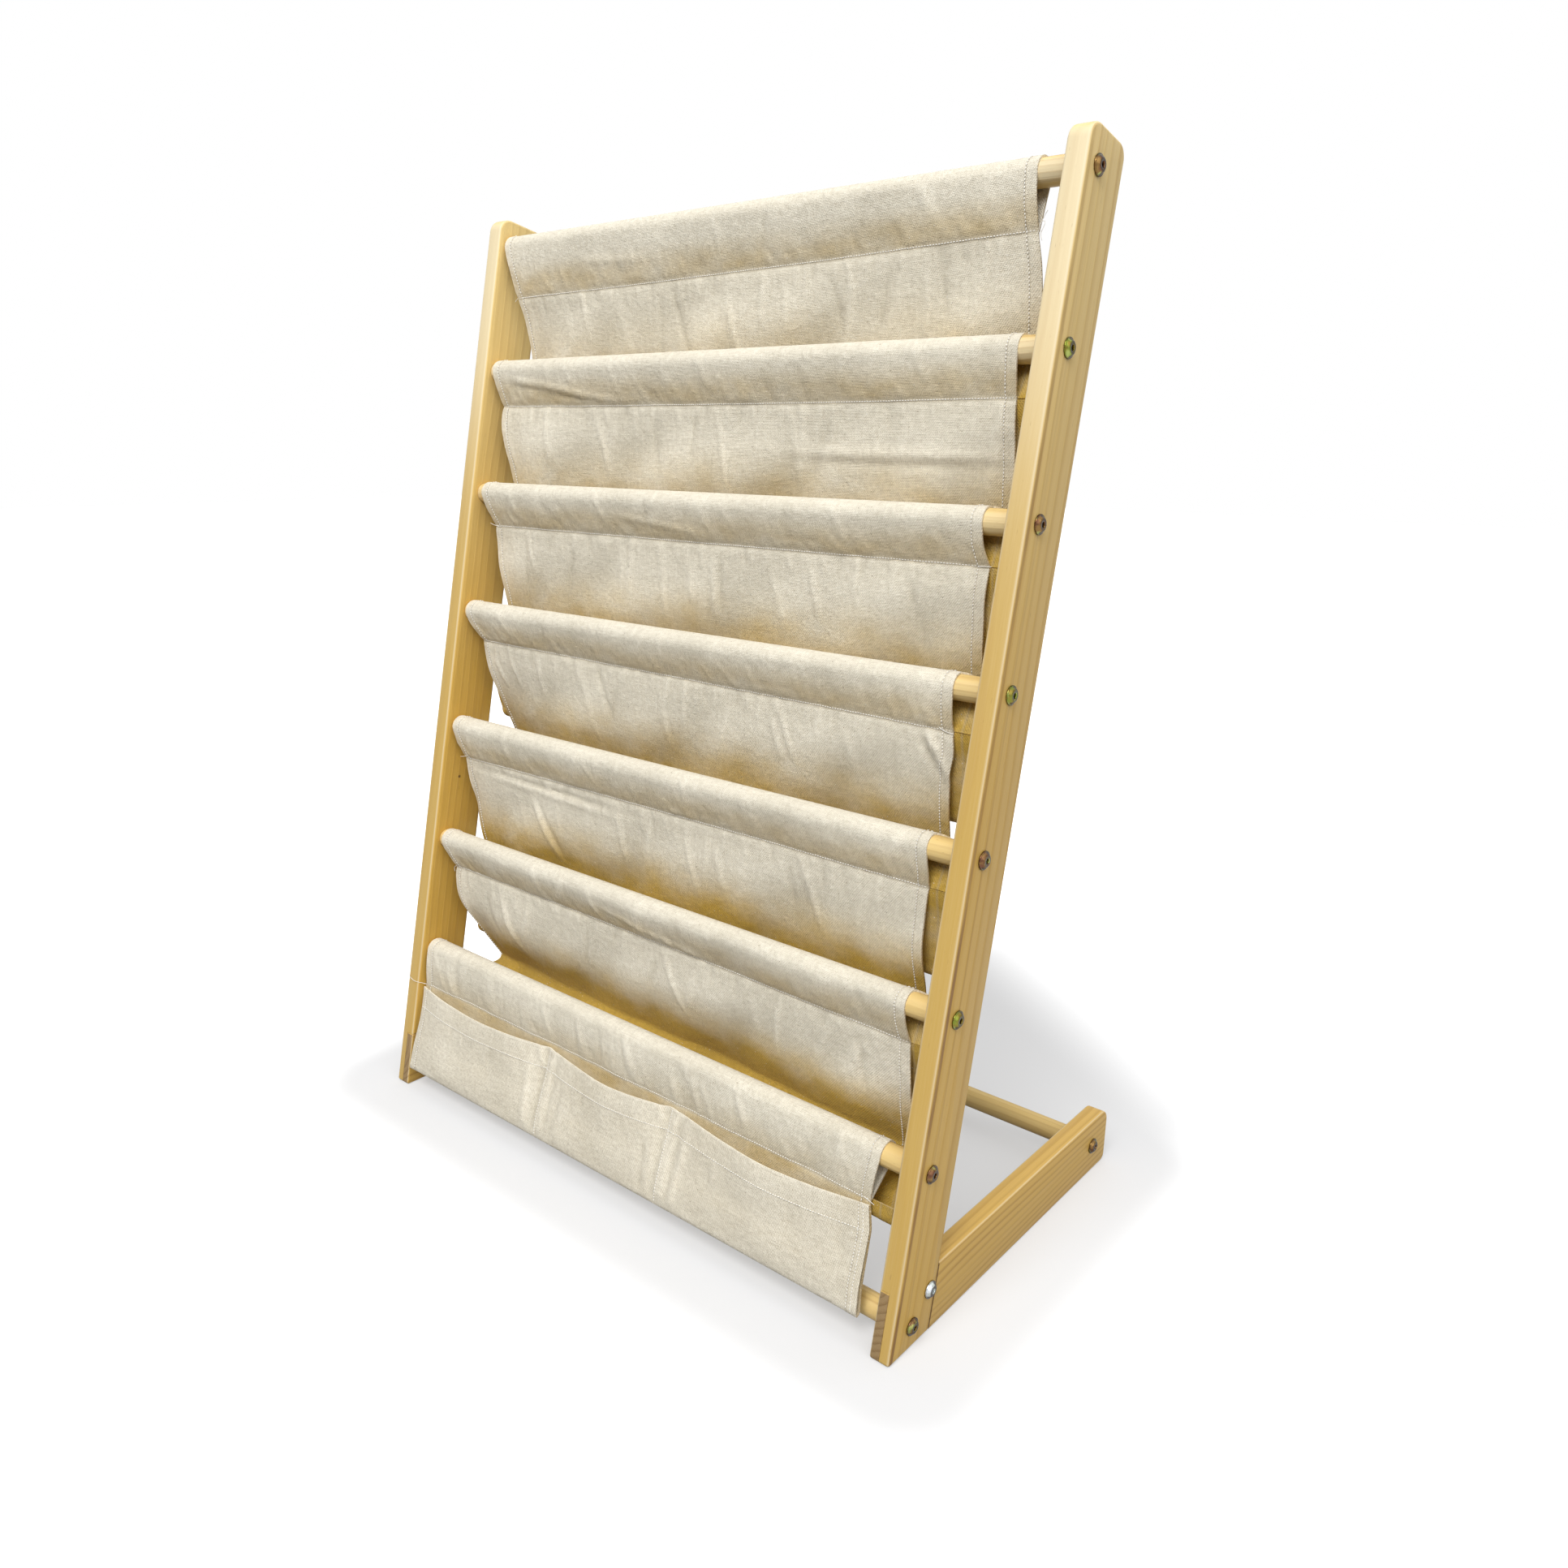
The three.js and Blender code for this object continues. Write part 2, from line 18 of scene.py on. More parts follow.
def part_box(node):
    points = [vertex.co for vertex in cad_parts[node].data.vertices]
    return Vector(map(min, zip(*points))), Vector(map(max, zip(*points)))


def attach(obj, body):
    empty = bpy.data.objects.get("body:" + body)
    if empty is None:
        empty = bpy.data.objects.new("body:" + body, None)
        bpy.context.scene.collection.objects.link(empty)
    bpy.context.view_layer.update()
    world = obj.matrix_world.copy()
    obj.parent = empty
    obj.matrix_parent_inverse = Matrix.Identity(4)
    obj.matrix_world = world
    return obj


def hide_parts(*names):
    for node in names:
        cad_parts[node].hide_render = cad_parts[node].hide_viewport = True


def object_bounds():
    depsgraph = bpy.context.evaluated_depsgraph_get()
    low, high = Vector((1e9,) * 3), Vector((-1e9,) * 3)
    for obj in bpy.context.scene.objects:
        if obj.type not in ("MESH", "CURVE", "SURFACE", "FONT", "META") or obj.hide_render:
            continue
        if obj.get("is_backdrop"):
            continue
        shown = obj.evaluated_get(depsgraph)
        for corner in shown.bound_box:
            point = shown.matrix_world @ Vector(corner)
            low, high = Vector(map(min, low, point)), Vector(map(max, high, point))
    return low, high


bl_info = {
    "name": "Sling Bookshelf",
    "version": (1, 0, 0),
    "blender": (4, 5, 0),
    "location": "3D View > Sidebar > Shelf",
    "description": "Builds a leaning pine bookshelf with canvas slings round its packed frame",
    "category": "Object",
}

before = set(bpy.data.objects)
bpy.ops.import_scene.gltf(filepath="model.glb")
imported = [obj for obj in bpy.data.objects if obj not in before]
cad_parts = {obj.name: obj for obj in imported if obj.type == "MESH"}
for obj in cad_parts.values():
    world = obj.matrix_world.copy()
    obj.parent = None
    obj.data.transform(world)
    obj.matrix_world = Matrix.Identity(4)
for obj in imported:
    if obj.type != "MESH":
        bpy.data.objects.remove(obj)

MM = 0.001
TIERS = 7
SIDES = {"left": -1, "right": 1}


# Places

def middle(node):
    low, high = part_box(node)
    return (low + high) / 2


def span(node, axis):
    low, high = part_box(node)
    return (high - low)[axis] / MM


ROD = [middle(f"rod_{tier}") for tier in range(1, TIERS + 1)]
LEAN = math.atan2(ROD[0].y - ROD[-1].y, ROD[0].z - ROD[-1].z)
PITCH = (ROD[0] - ROD[-1]).length / (TIERS - 1) / MM
LINE_DEPTH = (ROD[-1].y - ROD[-1].z * math.tan(LEAN)) / MM
ROD_RISE = [rod.z / math.cos(LEAN) / MM for rod in ROD]
FRONT_RAIL = middle("front_rail")
REAR_RAIL = middle("rear_rail")
LAP_BOLT = middle("left_lap_nut")
OUTER_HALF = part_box("right_upright")[1].x / MM
INNER_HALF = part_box("right_upright")[0].x / MM
THICK = OUTER_HALF - INNER_HALF
LAP_MIDDLE = (OUTER_HALF + INNER_HALF) / 2
LEG_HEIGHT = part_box("right_leg")[1].z / MM
LEG_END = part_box("right_leg")[1].y / MM
ROD_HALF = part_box("rod_1")[1].x / MM
ROD_RADIUS = span("rod_1", 2) / 2
HEAD_RADIUS = span("right_rod_bolt_1", 2) / 2

FRONT_SET = -17.0        # front edge of an upright, from the line of dowels
REAR_SET = 37.0
TOP_RISE = ROD_RISE[0] + 26.0
FIT = 0.3
BORE_RADIUS = 3.3        # of the holes that bolts run in
NUT_HOLE_RADIUS = 4.8    # of the hole for a lap bolt's sleeve nut
SOCKET_DEPTH = 4.0       # how far a dowel goes into a board
OVERRUN = 5              # how far a cutter stands out of the board that it cuts

# The leaning frame: X stays, Y becomes the set behind the dowels and Z the rise.
LADDER = Matrix.Translation((0, LINE_DEPTH * MM, 0)) @ Matrix.Rotation(-LEAN, 4, "X")


def in_room(x, back, up):
    """Points of the leaning frame, in millimetres, as points of the room in metres."""
    depth = LINE_DEPTH + back * math.cos(LEAN) + up * math.sin(LEAN)
    height = up * math.cos(LEAN) - back * math.sin(LEAN)
    return np.stack(np.broadcast_arrays(x, depth, height), axis=-1) * MM


def lean_depth(height, back):
    """Depth in the room of an upright's line at a height."""
    return LINE_DEPTH + back / math.cos(LEAN) + height * math.tan(LEAN)


# Sizes

def length_field(name, description, default, low, high):
    """A length property, given in millimetres."""
    return FloatProperty(name=name, description=description, default=default * MM,
                         min=low * MM, max=high * MM, unit="LENGTH")


def colour_field(name, description, default):
    """A colour property."""
    return FloatVectorProperty(name=name, description=description, default=default,
                               subtype="COLOR", size=3, min=0, max=1)


def lamp_field(name, description, default):
    """A lamp's power or strength as a property."""
    return FloatProperty(name=name, description=description, default=default, min=0)


class ShelfSizes(bpy.types.PropertyGroup):
    edge_radius: length_field("Eased edge", "Radius of the boards' long edges", 2.6, 0.5, 5)
    cloth_thickness: length_field("Canvas", "Thickness of one layer of canvas", 1.0, 0.5, 1.6)
    hem_width: length_field("Hem", "Width of the side hems", 10, 5, 20)
    stitch_pitch: length_field("Stitch pitch", "From one stitch to the next", 2.6, 1.5, 6)
    stitch_length: length_field("Stitch length", "Length of thread that shows in one stitch", 2.0, 1, 5)
    thread_radius: length_field("Thread", "Radius of the sewing thread", 0.46, 0.1, 0.6)
    pucker_depth: length_field("Pucker depth", "Depth of the small creases along the seams", 1.6, 0, 2.5)
    grid_step: length_field("Cloth mesh", "Edge length of the cloths' faces", 2.5, 1.5, 10)
    seed: IntProperty(
        name="Seed", description="Start of the random numbers for creases", default=11, min=0)


class ShelfColours(bpy.types.PropertyGroup):
    pine_light: colour_field("Pine", "Early wood", (0.83, 0.61, 0.245))
    pine_dark: colour_field("Pine grain", "Late wood", (0.44, 0.23, 0.05))
    # Painted shade: the darker, more golden colour the wood is drawn with towards the floor.
    pine_low_shade: colour_field("Pine, low", "Wood near the floor", (0.65, 0.395, 0.075))
    # Painted highlight: the paler colour drawn on faces that look forward and on the eased edges.
    pine_highlight: colour_field("Pine, edge", "Painted highlight on front faces and edges", (0.78, 0.68, 0.47))
    end_grain: colour_field("End grain", "Cut ends of the boards", (0.30, 0.20, 0.105))
    canvas: colour_field("Canvas", "Undyed cotton", (0.865, 0.833, 0.765))
    # Painted shade: the deeper, golden canvas colour that the hollow attribute draws in.
    canvas_shade: colour_field("Canvas, deep", "Cotton low in the pockets", (0.55, 0.365, 0.07))
    thread: colour_field("Thread", "Sewing thread", (0.95, 0.93, 0.88))
    zinc_gold: colour_field("Yellow zinc", "Gold of the bolts", (0.18, 0.135, 0.028))
    zinc_rose: colour_field("Yellow zinc, rose", "Rose and brown film on the bolts", (0.125, 0.058, 0.032))
    zinc_white: colour_field("White zinc", "The lap bolts", (0.55, 0.58, 0.62))


class ShelfStage(bpy.types.PropertyGroup):
    camera_place: FloatVectorProperty(
        name="Camera", description="Where the camera stands", subtype="TRANSLATION", size=3,
        default=(0.7296, -0.8036, 0.6661))
    camera_turn: FloatVectorProperty(
        name="Camera turn", description="Its rotation", subtype="EULER", size=3,
        default=tuple(math.radians(angle) for angle in (74.051, -0.678, 39.858)))
    camera_lens: FloatProperty(
        name="Lens", description="Focal length on a 36 mm sensor, in millimetres",
        default=27.34, min=10, max=200)
    key_place: FloatVectorProperty(
        name="Key", description="Where the main lamp hangs", subtype="TRANSLATION", size=3,
        default=(0.6, -2.6, 3.5))
    key_size: FloatProperty(
        name="Key size", description="Diameter of the main lamp", default=2.3, min=0.1, unit="LENGTH")
    key_power: lamp_field("Key power", "Power of the main lamp, in watts", 139.0)
    side_power: lamp_field("Side", "Strength of the wide light from the right", 1.2)
    top_power: lamp_field("Top", "Strength of the wide light from above and behind", 0.75)
    sky_power: lamp_field("Sky", "Strength of the even light from all round", 0.2)
    floor_lift: FloatProperty(
        name="Floor lift", description="Added brightness of the floor as the camera sees it",
        default=0.385, min=0, max=1)


# Shaders

class Shade:
    """A number that varies over a surface, with the usual operators."""

    def __init__(self, finish, socket):
        self.finish, self.socket = finish, socket

    def math(self, operation, *others, **settings):
        values = dict(enumerate((self, *others)))
        node = self.finish.add("ShaderNodeMath", {"operation": operation, **settings}, values)
        return Shade(self.finish, node.outputs[0])

    def __add__(self, other):
        return self.math("ADD", other)

    def __mul__(self, other):
        return self.math("MULTIPLY", other)

    def __sub__(self, other):
        return self.math("SUBTRACT", other)

    def __rsub__(self, other):
        return self.finish.number(other).math("SUBTRACT", self)

    def __truediv__(self, other):
        return self.math("DIVIDE", other)

    def __neg__(self):
        return self * -1

    __radd__ = __add__
    __rmul__ = __mul__

    def power(self, exponent):
        return self.math("POWER", exponent)

    def sine(self):
        return self.math("SINE")

    def clamped(self):
        return self.math("ADD", 0.0, use_clamp=True)

    def between(self, low, high):
        """0 below low, 1 above high, and a smooth step on the way."""
        node = self.finish.add(
            "ShaderNodeMapRange", {"interpolation_type": "SMOOTHSTEP"},
            {0: self, 1: low, 2: high, 3: 0.0, 4: 1.0})
        return Shade(self.finish, node.outputs[0])


class Finish:
    """The nodes that make one material, or the world."""

    def __init__(self, owner):
        self.owner = owner
        owner.use_nodes = True
        self.tree = owner.node_tree
        self.tree.nodes.clear()

    def add(self, kind, settings=None, values=None):
        node = self.tree.nodes.new(kind)
        for name, value in (settings or {}).items():
            setattr(node, name, value)
        for name, value in (values or {}).items():
            socket = node.inputs[name]
            if isinstance(value, Shade):
                value = value.socket
            if isinstance(value, bpy.types.NodeSocket):
                self.tree.links.new(value, socket)
            elif hasattr(value, "__len__") and socket.type == "RGBA" and len(value) == 3:
                socket.default_value = (*value, 1.0)
            else:
                socket.default_value = value
        return node

    def number(self, value):
        node = self.add("ShaderNodeValue")
        node.outputs[0].default_value = value
        return Shade(self, node.outputs[0])

    def place(self, turn=(0, 0, 0), shift=(0, 0, 0)):
        """Object coordinates, turned so that the grain runs along Z."""
        coordinates = self.add("ShaderNodeTexCoord").outputs["Object"]
        return self.add("ShaderNodeMapping", {"vector_type": "POINT"}, {
            "Vector": coordinates, "Rotation": turn, "Location": shift}).outputs[0]

    def noise(self, vector, scale, detail=2.0, roughness=0.5):
        """Noise with its own scale on each axis, in cells per metre."""
        stretched = self.add("ShaderNodeVectorMath", {"operation": "MULTIPLY"}, {0: vector, 1: scale})
        node = self.add("ShaderNodeTexNoise", {}, {
            "Vector": stretched.outputs[0], "Scale": 1.0, "Detail": detail, "Roughness": roughness})
        return Shade(self, node.outputs[0])

    def attribute(self, name):
        """A value that the cloth's mesh carries on its points."""
        return Shade(self, self.add("ShaderNodeAttribute", {"attribute_name": name}).outputs["Fac"])

    def axes(self, vector):
        node = self.add("ShaderNodeSeparateXYZ", {}, {0: vector})
        return [Shade(self, output) for output in node.outputs]

    def mix(self, factor, first, second, blend="MIX"):
        node = self.add("ShaderNodeMix", {"data_type": "RGBA", "blend_type": blend},
                        {0: factor, 6: first, 7: second})
        return node.outputs[2]

    def bump(self, height, distance, below=None):
        values = {"Height": height, "Distance": distance, "Strength": 1.0}
        if below is not None:
            values["Normal"] = below
        return self.add("ShaderNodeBump", {}, values).outputs[0]

    def seen(self):
        """1 for rays from the camera and for what shows in reflections and through glass."""
        path = self.add("ShaderNodeLightPath")
        camera, glossy, clear = (Shade(self, path.outputs[f"Is {kind} Ray"])
                                 for kind in ("Camera", "Glossy", "Transmission"))
        return camera.math("MAXIMUM", glossy).math("MAXIMUM", clear)

    def finish(self, values):
        shader = self.add("ShaderNodeBsdfPrincipled", {}, values)
        self.add("ShaderNodeOutputMaterial", {}, {"Surface": shader.outputs[0]})
        return self.owner


def pine(name, turn, shift, ring_pitch, grain_axis, grain=1.0, low_shade=0.9, mark=None,
         stripes=()):
    """Straight-grained pine. The rings are cylinders round a pith that lies off the board.

    Stripes are dark lines along the board's side faces, drawn stronger towards the floor: grain lines, and
    a painted dark reflection beside an eased edge. Each gives the place across the grain, half the width
    and the strength.
    """
    colours = bpy.context.scene.shelf_colours
    f = Finish(bpy.data.materials.new(name))
    place = f.place(turn, shift)
    wander = f.noise(place, (9.0, 9.0, 1.6)) - 0.5
    drift = f.noise(place, (30.0, 30.0, 5.0), 3.0) - 0.5
    x, y, _ = f.axes(place)
    radius = (x * x + y * y).power(0.5) + wander * 0.030 + drift * 0.0035
    ring = (radius / ring_pitch).math("FRACT")
    late = ring.between(0.42, 0.86) * (1 - ring.between(0.90, 0.995))
    years = f.noise(place, (38.0, 38.0, 1.0))
    bands = f.noise(place, (55.0, 55.0, 0.8), 3.0, 0.6)
    fibres = f.noise(place, (1500.0, 1500.0, 26.0))
    streaks = f.noise(place, (420.0, 420.0, 5.0), 3.0)
    flecks = f.noise(place, (900.0, 900.0, 110.0), 1.0).between(0.72, 0.80)
    room = f.add("ShaderNodeTexCoord").outputs["Object"]
    # Painted shade: low is 1 near the floor, where the wood is drawn darker and more golden.
    low = 1 - f.axes(room)[2].between(0.36, 0.90)
    normal = f.add("ShaderNodeNewGeometry").outputs["True Normal"]
    sideways, forward, _ = f.axes(normal)
    # Painted highlight: faces that look forward are drawn paler, most near the top; low down they are drawn
    # a deeper gold as painted shade.
    front = (forward * -1).between(0.45, 0.9)
    base = f.mix(low * low_shade, colours.pine_light, colours.pine_low_shade)
    base = f.mix(front * (1 - low * 0.9) * 0.8, base, colours.pine_highlight)
    base = f.mix(front * low.between(0.1, 0.7) * (0.78 * low_shade), base, (0.56, 0.37, 0.10))
    # Painted highlight along the eased edges, where the normal turns between two faces.
    arris_highlight = (sideways.math("ABSOLUTE") * (1 - sideways.math("ABSOLUTE")) * 4).between(0.35, 0.95)
    base = f.mix(arris_highlight * 0.55, base, colours.pine_highlight)
    strength = late * years.between(0.30, 0.62) * 0.62 + bands.between(0.48, 0.78) * 0.30
    strength = (strength + streaks.between(0.45, 0.8) * 0.12) * (1 - front * 0.45) * grain
    colour = f.mix(strength.clamped(), base, colours.pine_dark)
    colour = f.mix(fibres.between(0.35, 0.75) * (0.10 - low * 0.05), colour, (0.92, 0.80, 0.54))
    colour = f.mix(flecks * 0.30, colour, (0.33, 0.18, 0.06))
    flank = sideways.math("ABSOLUTE").between(0.5, 0.9)
    # Dark stripes on the side faces, drawn stronger towards the floor as painted shade.
    for centre, half, depth in stripes:
        line = 1 - ((y + drift * 0.004 - centre).math("ABSOLUTE")).between(half * 0.5, half * 1.4)
        broken = 0.55 + f.noise(place, (60.0, 60.0, 14.0), 3.0).between(0.35, 0.6) * 0.45
        colour = f.mix(line * flank * broken * depth * (0.35 + low * 0.65), colour, (0.25, 0.12, 0.03))
    if mark:
        near = f.add("ShaderNodeVectorMath", {"operation": "DISTANCE"}, {0: room, 1: mark})
        spot = 1 - Shade(f, near.outputs["Value"]).between(0.0007, 0.0022)
        colour = f.mix(spot * 0.85, colour, (0.10, 0.045, 0.02))
    facing = f.add("ShaderNodeVectorMath", {"operation": "DOT_PRODUCT"}, {0: normal, 1: grain_axis})
    end = Shade(f, facing.outputs["Value"]).math("ABSOLUTE").between(0.80, 0.95)
    pores = f.noise(place, (1100.0, 1100.0, 1100.0))
    cut = f.mix(late * 0.55 + pores.between(0.45, 0.8) * 0.3, colours.end_grain, (0.17, 0.10, 0.045))
    colour = f.mix(end * 0.88, colour, cut)
    relief = late * 0.5 + fibres * 0.35 + streaks * 0.4 + end * pores * 1.4
    return f.finish({
        "Base Color": colour,
        "Roughness": (0.38 + late * 0.08 + fibres * 0.12 + end * 0.2).clamped(),
        "Normal": f.bump(relief, 0.00022),
        "Specular IOR Level": 0.28,
    })


def canvas(name):
    """Cotton twill. The cloth's UV map is its flat cut in metres, so the weave keeps its size."""
    colours = bpy.context.scene.shelf_colours
    f = Finish(bpy.data.materials.new(name))
    flat = f.add("ShaderNodeUVMap", {"uv_map": "cut"}).outputs[0]
    u, v, _ = f.axes(flat)
    waver = f.noise(flat, (90.0, 90.0, 0.0)) - 0.5
    wale, pick = 1.55 * MM, 0.85 * MM
    ribs = ((u * 0.80 - v * 0.60) * (2 * math.pi / wale) + waver * 2.6).sine() * 0.5 + 0.5
    picks = (v * (2 * math.pi / pick)).sine() * 0.5 + 0.5
    yarn = f.noise(flat, (1500.0, 1500.0, 0.0))
    weft = f.noise(flat, (60.0, 900.0, 0.0), 2.0, 0.6)
    warp = f.noise(flat, (900.0, 60.0, 0.0), 2.0, 0.6)
    mottle = f.noise(flat, (240.0, 260.0, 0.0), 2.0, 0.6)
    cloud = f.noise(flat, (20.0, 30.0, 0.0), 3.0, 0.55)
    seeds = f.noise(flat, (520.0, 620.0, 0.0), 0.0).between(0.800, 0.835)
    neps = f.noise(flat, (600.0, 480.0, 0.0), 0.0).between(0.795, 0.83)
    # Painted shade: the hollow attribute, broken up by cloud noise, draws the canvas deeper and more
    # golden; faces that look back keep the plain colour.
    hollow = f.attribute("hollow")
    edge = f.attribute("edge")
    normal = f.add("ShaderNodeNewGeometry").outputs["True Normal"]
    behind = f.axes(normal)[1].between(0.0, 0.45)
    deep = (hollow + (cloud - 0.5) * 0.9 * hollow.between(0.0, 0.4)).clamped() * (1 - behind * 0.9)
    colour = f.mix(deep, colours.canvas, colours.canvas_shade)
    weave = (ribs - 0.5) * 0.20 + (picks - 0.5) * 0.12 + (yarn - 0.5) * 1.5
    weave = weave + (weft - 0.5) * 0.7 + (warp - 0.5) * 0.6 + (mottle - 0.5) * 0.9
    tone = f.mix((weave + 0.5).clamped(), (0.75, 0.715, 0.65), (1.15, 1.15, 1.13))
    colour = f.mix(1.0, colour, tone, "MULTIPLY")
    # Painted highlight and shade: the shown attribute draws crease ridges paler and crease valleys and
    # seams darker.
    shown = f.attribute("shown")
    relief_paint = f.mix((shown + 0.5).clamped(), (0.5, 0.465, 0.375), (1.5, 1.51, 1.5))
    colour = f.mix(1.0, colour, relief_paint, "MULTIPLY")
    colour = f.mix(seeds * 0.5, colour, (0.20, 0.12, 0.05))
    colour = f.mix(neps * 0.4, colour, (0.93, 0.91, 0.86))
    dimple = edge.math("ABSOLUTE").between(0.0, 0.0016)
    # Painted shade: a dark line drawn along the seam and the hem stitches, so the stitches stand out.
    seam = f.attribute("seam")
    stitch_shade = (1 - seam.math("ABSOLUTE").between(0.0004, 0.0017)).math("MAXIMUM", (1 - dimple) * 0.6)
    colour = f.mix(stitch_shade * 0.50, colour, (0.50, 0.42, 0.29))
    lumps = f.noise(flat, (70.0, 60.0, 0.0), 3.0, 0.55)
    coarse = f.bump(dimple * 0.30 + lumps * 1.0 + mottle * 0.35, 0.0014)
    fine = f.bump(ribs * 0.46 + picks * 0.25 + yarn * 1.1 + weft * 0.6 + warp * 0.5, 0.00042, coarse)
    return f.finish({
        "Base Color": colour,
        "Roughness": (0.86 + yarn * 0.1).clamped(),
        "Sheen Weight": 0.08,
        "Sheen Roughness": 0.6,
        "Specular IOR Level": 0.15,
        "Normal": fine,
    })


def thread():
    colours = bpy.context.scene.shelf_colours
    f = Finish(bpy.data.materials.new("cotton thread"))
    place = f.place()
    twist = f.noise(place, (2600.0, 2600.0, 2600.0))
    colour = f.mix(twist.between(0.3, 0.75) * 0.4, colours.thread, (0.62, 0.56, 0.45))
    return f.finish({"Base Color": colour, "Roughness": (0.75 + twist * 0.15).clamped(),
                     "Sheen Weight": 0.2, "Normal": f.bump(twist, 0.00015)})


def zinc(name, main, film, film_share):
    """Passivated zinc: a film of shifting colour with fine scratches, and a painted dark reflection round
    the rim.
    """
    f = Finish(bpy.data.materials.new(name))
    place = f.place()
    clouds = f.noise(place, (170.0, 170.0, 170.0), 2.0, 0.6)
    greens = f.noise(place, (130.0, 210.0, 160.0), 1.0)
    scratches = f.noise(place, (700.0, 4200.0, 900.0))
    spots = f.noise(place, (1500.0, 1500.0, 1500.0), 1.0)
    colour = f.mix(clouds.between(0.42, 0.60) * film_share, main, film)
    colour = f.mix(greens.between(0.52, 0.68) * film_share * 0.7, colour, (0.34, 0.40, 0.12))
    colour = f.mix(spots.between(0.66, 0.74) * 0.5, colour, (0.12, 0.09, 0.06))
    # Painted reflection: the metal is drawn near black where its face turns away from the view.
    rim = Shade(f, f.add("ShaderNodeLayerWeight", {}, {"Blend": 0.5}).outputs["Facing"])
    colour = f.mix(rim.between(0.33, 0.62) * 0.93, colour, (0.03, 0.02, 0.012))
    return f.finish({
        "Base Color": colour,
        "Metallic": 1.0,
        "Roughness": (0.14 + scratches * 0.20 + clouds * 0.06).clamped(),
        "Normal": f.bump(scratches * 0.5 + spots * 0.3, 0.00006),
    })


# Modelling

def only(piece):
    bpy.ops.object.select_all(action="DESELECT")
    piece.select_set(True)
    bpy.context.view_layer.objects.active = piece


class Editing:
    """Edit mode on one piece, as a with block, with nothing selected at first."""

    def __init__(self, piece, kind="FACE"):
        self.piece, self.kind = piece, kind

    def __enter__(self):
        only(self.piece)
        bpy.ops.object.mode_set(mode="EDIT")
        bpy.ops.mesh.select_mode(type=self.kind)
        bpy.ops.mesh.select_all(action="DESELECT")
        return self

    def __exit__(self, *_):
        bpy.ops.object.mode_set(mode="OBJECT")

    def pick(self, test):
        """Selects the faces or edges that pass a test and nothing else."""
        bpy.ops.mesh.select_all(action="DESELECT")
        mesh = bmesh.from_edit_mesh(self.piece.data)
        picked = 0
        for part in mesh.faces if self.kind == "FACE" else mesh.edges:
            if test(part):
                part.select_set(True)
                picked += 1
        bmesh.update_edit_mesh(self.piece.data)
        if not picked:
            raise RuntimeError(f"{self.piece.name}: nothing to select")


def settle(piece):
    """Puts a piece's place into its mesh."""
    only(piece)
    bpy.ops.object.transform_apply(location=True, rotation=True, scale=True)


def primitive(name, add, **settings):
    """A piece from one of the mesh primitives, under its own name."""
    bpy.ops.object.select_all(action="DESELECT")
    add(**settings)
    piece = bpy.context.view_layer.objects.active
    piece.name = piece.data.name = name
    settle(piece)
    return piece


def box(name, low, high):
    """A block between two corners, in millimetres."""
    low, high = Vector(low), Vector(high)
    return primitive(name, bpy.ops.mesh.primitive_cube_add, size=1,
                     location=(low + high) / 2 * MM, scale=(high - low) * MM)


def cross_bar(name, radius, length, place, sides=32):
    """A cylinder along X, in millimetres."""
    return primitive(name, bpy.ops.mesh.primitive_cylinder_add, vertices=sides, radius=radius * MM,
                     depth=length * MM, location=Vector(place) * MM, rotation=(0, math.pi / 2, 0))


def slope(place, normal):
    """Cuts the piece in edit mode by a plane and takes away what lies before it."""
    bpy.ops.mesh.select_all(action="SELECT")
    bpy.ops.mesh.bisect(plane_co=Vector(place) * MM, plane_no=normal, use_fill=True, clear_outer=True)


def flip(piece):
    with Editing(piece):
        bpy.ops.mesh.select_all(action="SELECT")
        bpy.ops.mesh.flip_normals()


def apply_modifier(piece, kind, **settings):
    only(piece)
    modifier = piece.modifiers.new(kind.title(), kind)
    for name, value in settings.items():
        setattr(modifier, name, value)
    bpy.ops.object.modifier_apply(modifier=modifier.name)


def carve(piece, cutters):
    """Cuts bodies out of a piece and takes the cutters away."""
    for cutter in cutters:
        apply_modifier(piece, "BOOLEAN", operation="DIFFERENCE", solver="EXACT", object=cutter)
        bpy.data.objects.remove(cutter)


def smooth(piece, angle=32):
    only(piece)
    bpy.ops.object.shade_smooth_by_angle(angle=math.radians(angle))


def copy_of(piece, name, matrix=None):
    twin = piece.copy()
    twin.data = piece.data.copy()
    twin.name = twin.data.name = name
    bpy.context.scene.collection.objects.link(twin)
    if matrix is not None:
        twin.data.transform(matrix)
    return twin


def install(piece, finish, nodes=()):
    """The closing steps of every piece: finish, slot, body and the nodes that it stands for."""
    piece.data.materials.clear()
    piece.data.materials.append(finish)
    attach(piece, "root")
    if nodes:
        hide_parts(*nodes)
    return piece


# Boards

def eased_board(name, low, high, cuts, corners):
    """A board: a block cut to its slopes, its outline's corners rounded, its edges eased."""
    sizes = bpy.context.scene.shelf_sizes
    piece = box(name, low, high)
    with Editing(piece):
        for place, normal in cuts:
            slope(place, normal)
    for (depth, height), radius in corners:
        with Editing(piece, "EDGE") as edit:
            edit.pick(lambda e: all(
                math.dist(v.co.yz, (depth * MM, height * MM)) < 1e-4 for v in e.verts))
            bpy.ops.mesh.bevel(offset=radius * MM, segments=10, profile=0.5, affect="EDGES")
    apply_modifier(piece, "BEVEL", width=sizes.edge_radius, segments=4, limit_method="ANGLE",
                   angle_limit=math.radians(40), use_clamp_overlap=True)
    return piece


def bolt_bore(place):
    return cross_bar("bore", BORE_RADIUS, THICK + 2 * OVERRUN, (LAP_MIDDLE, *place), 24)


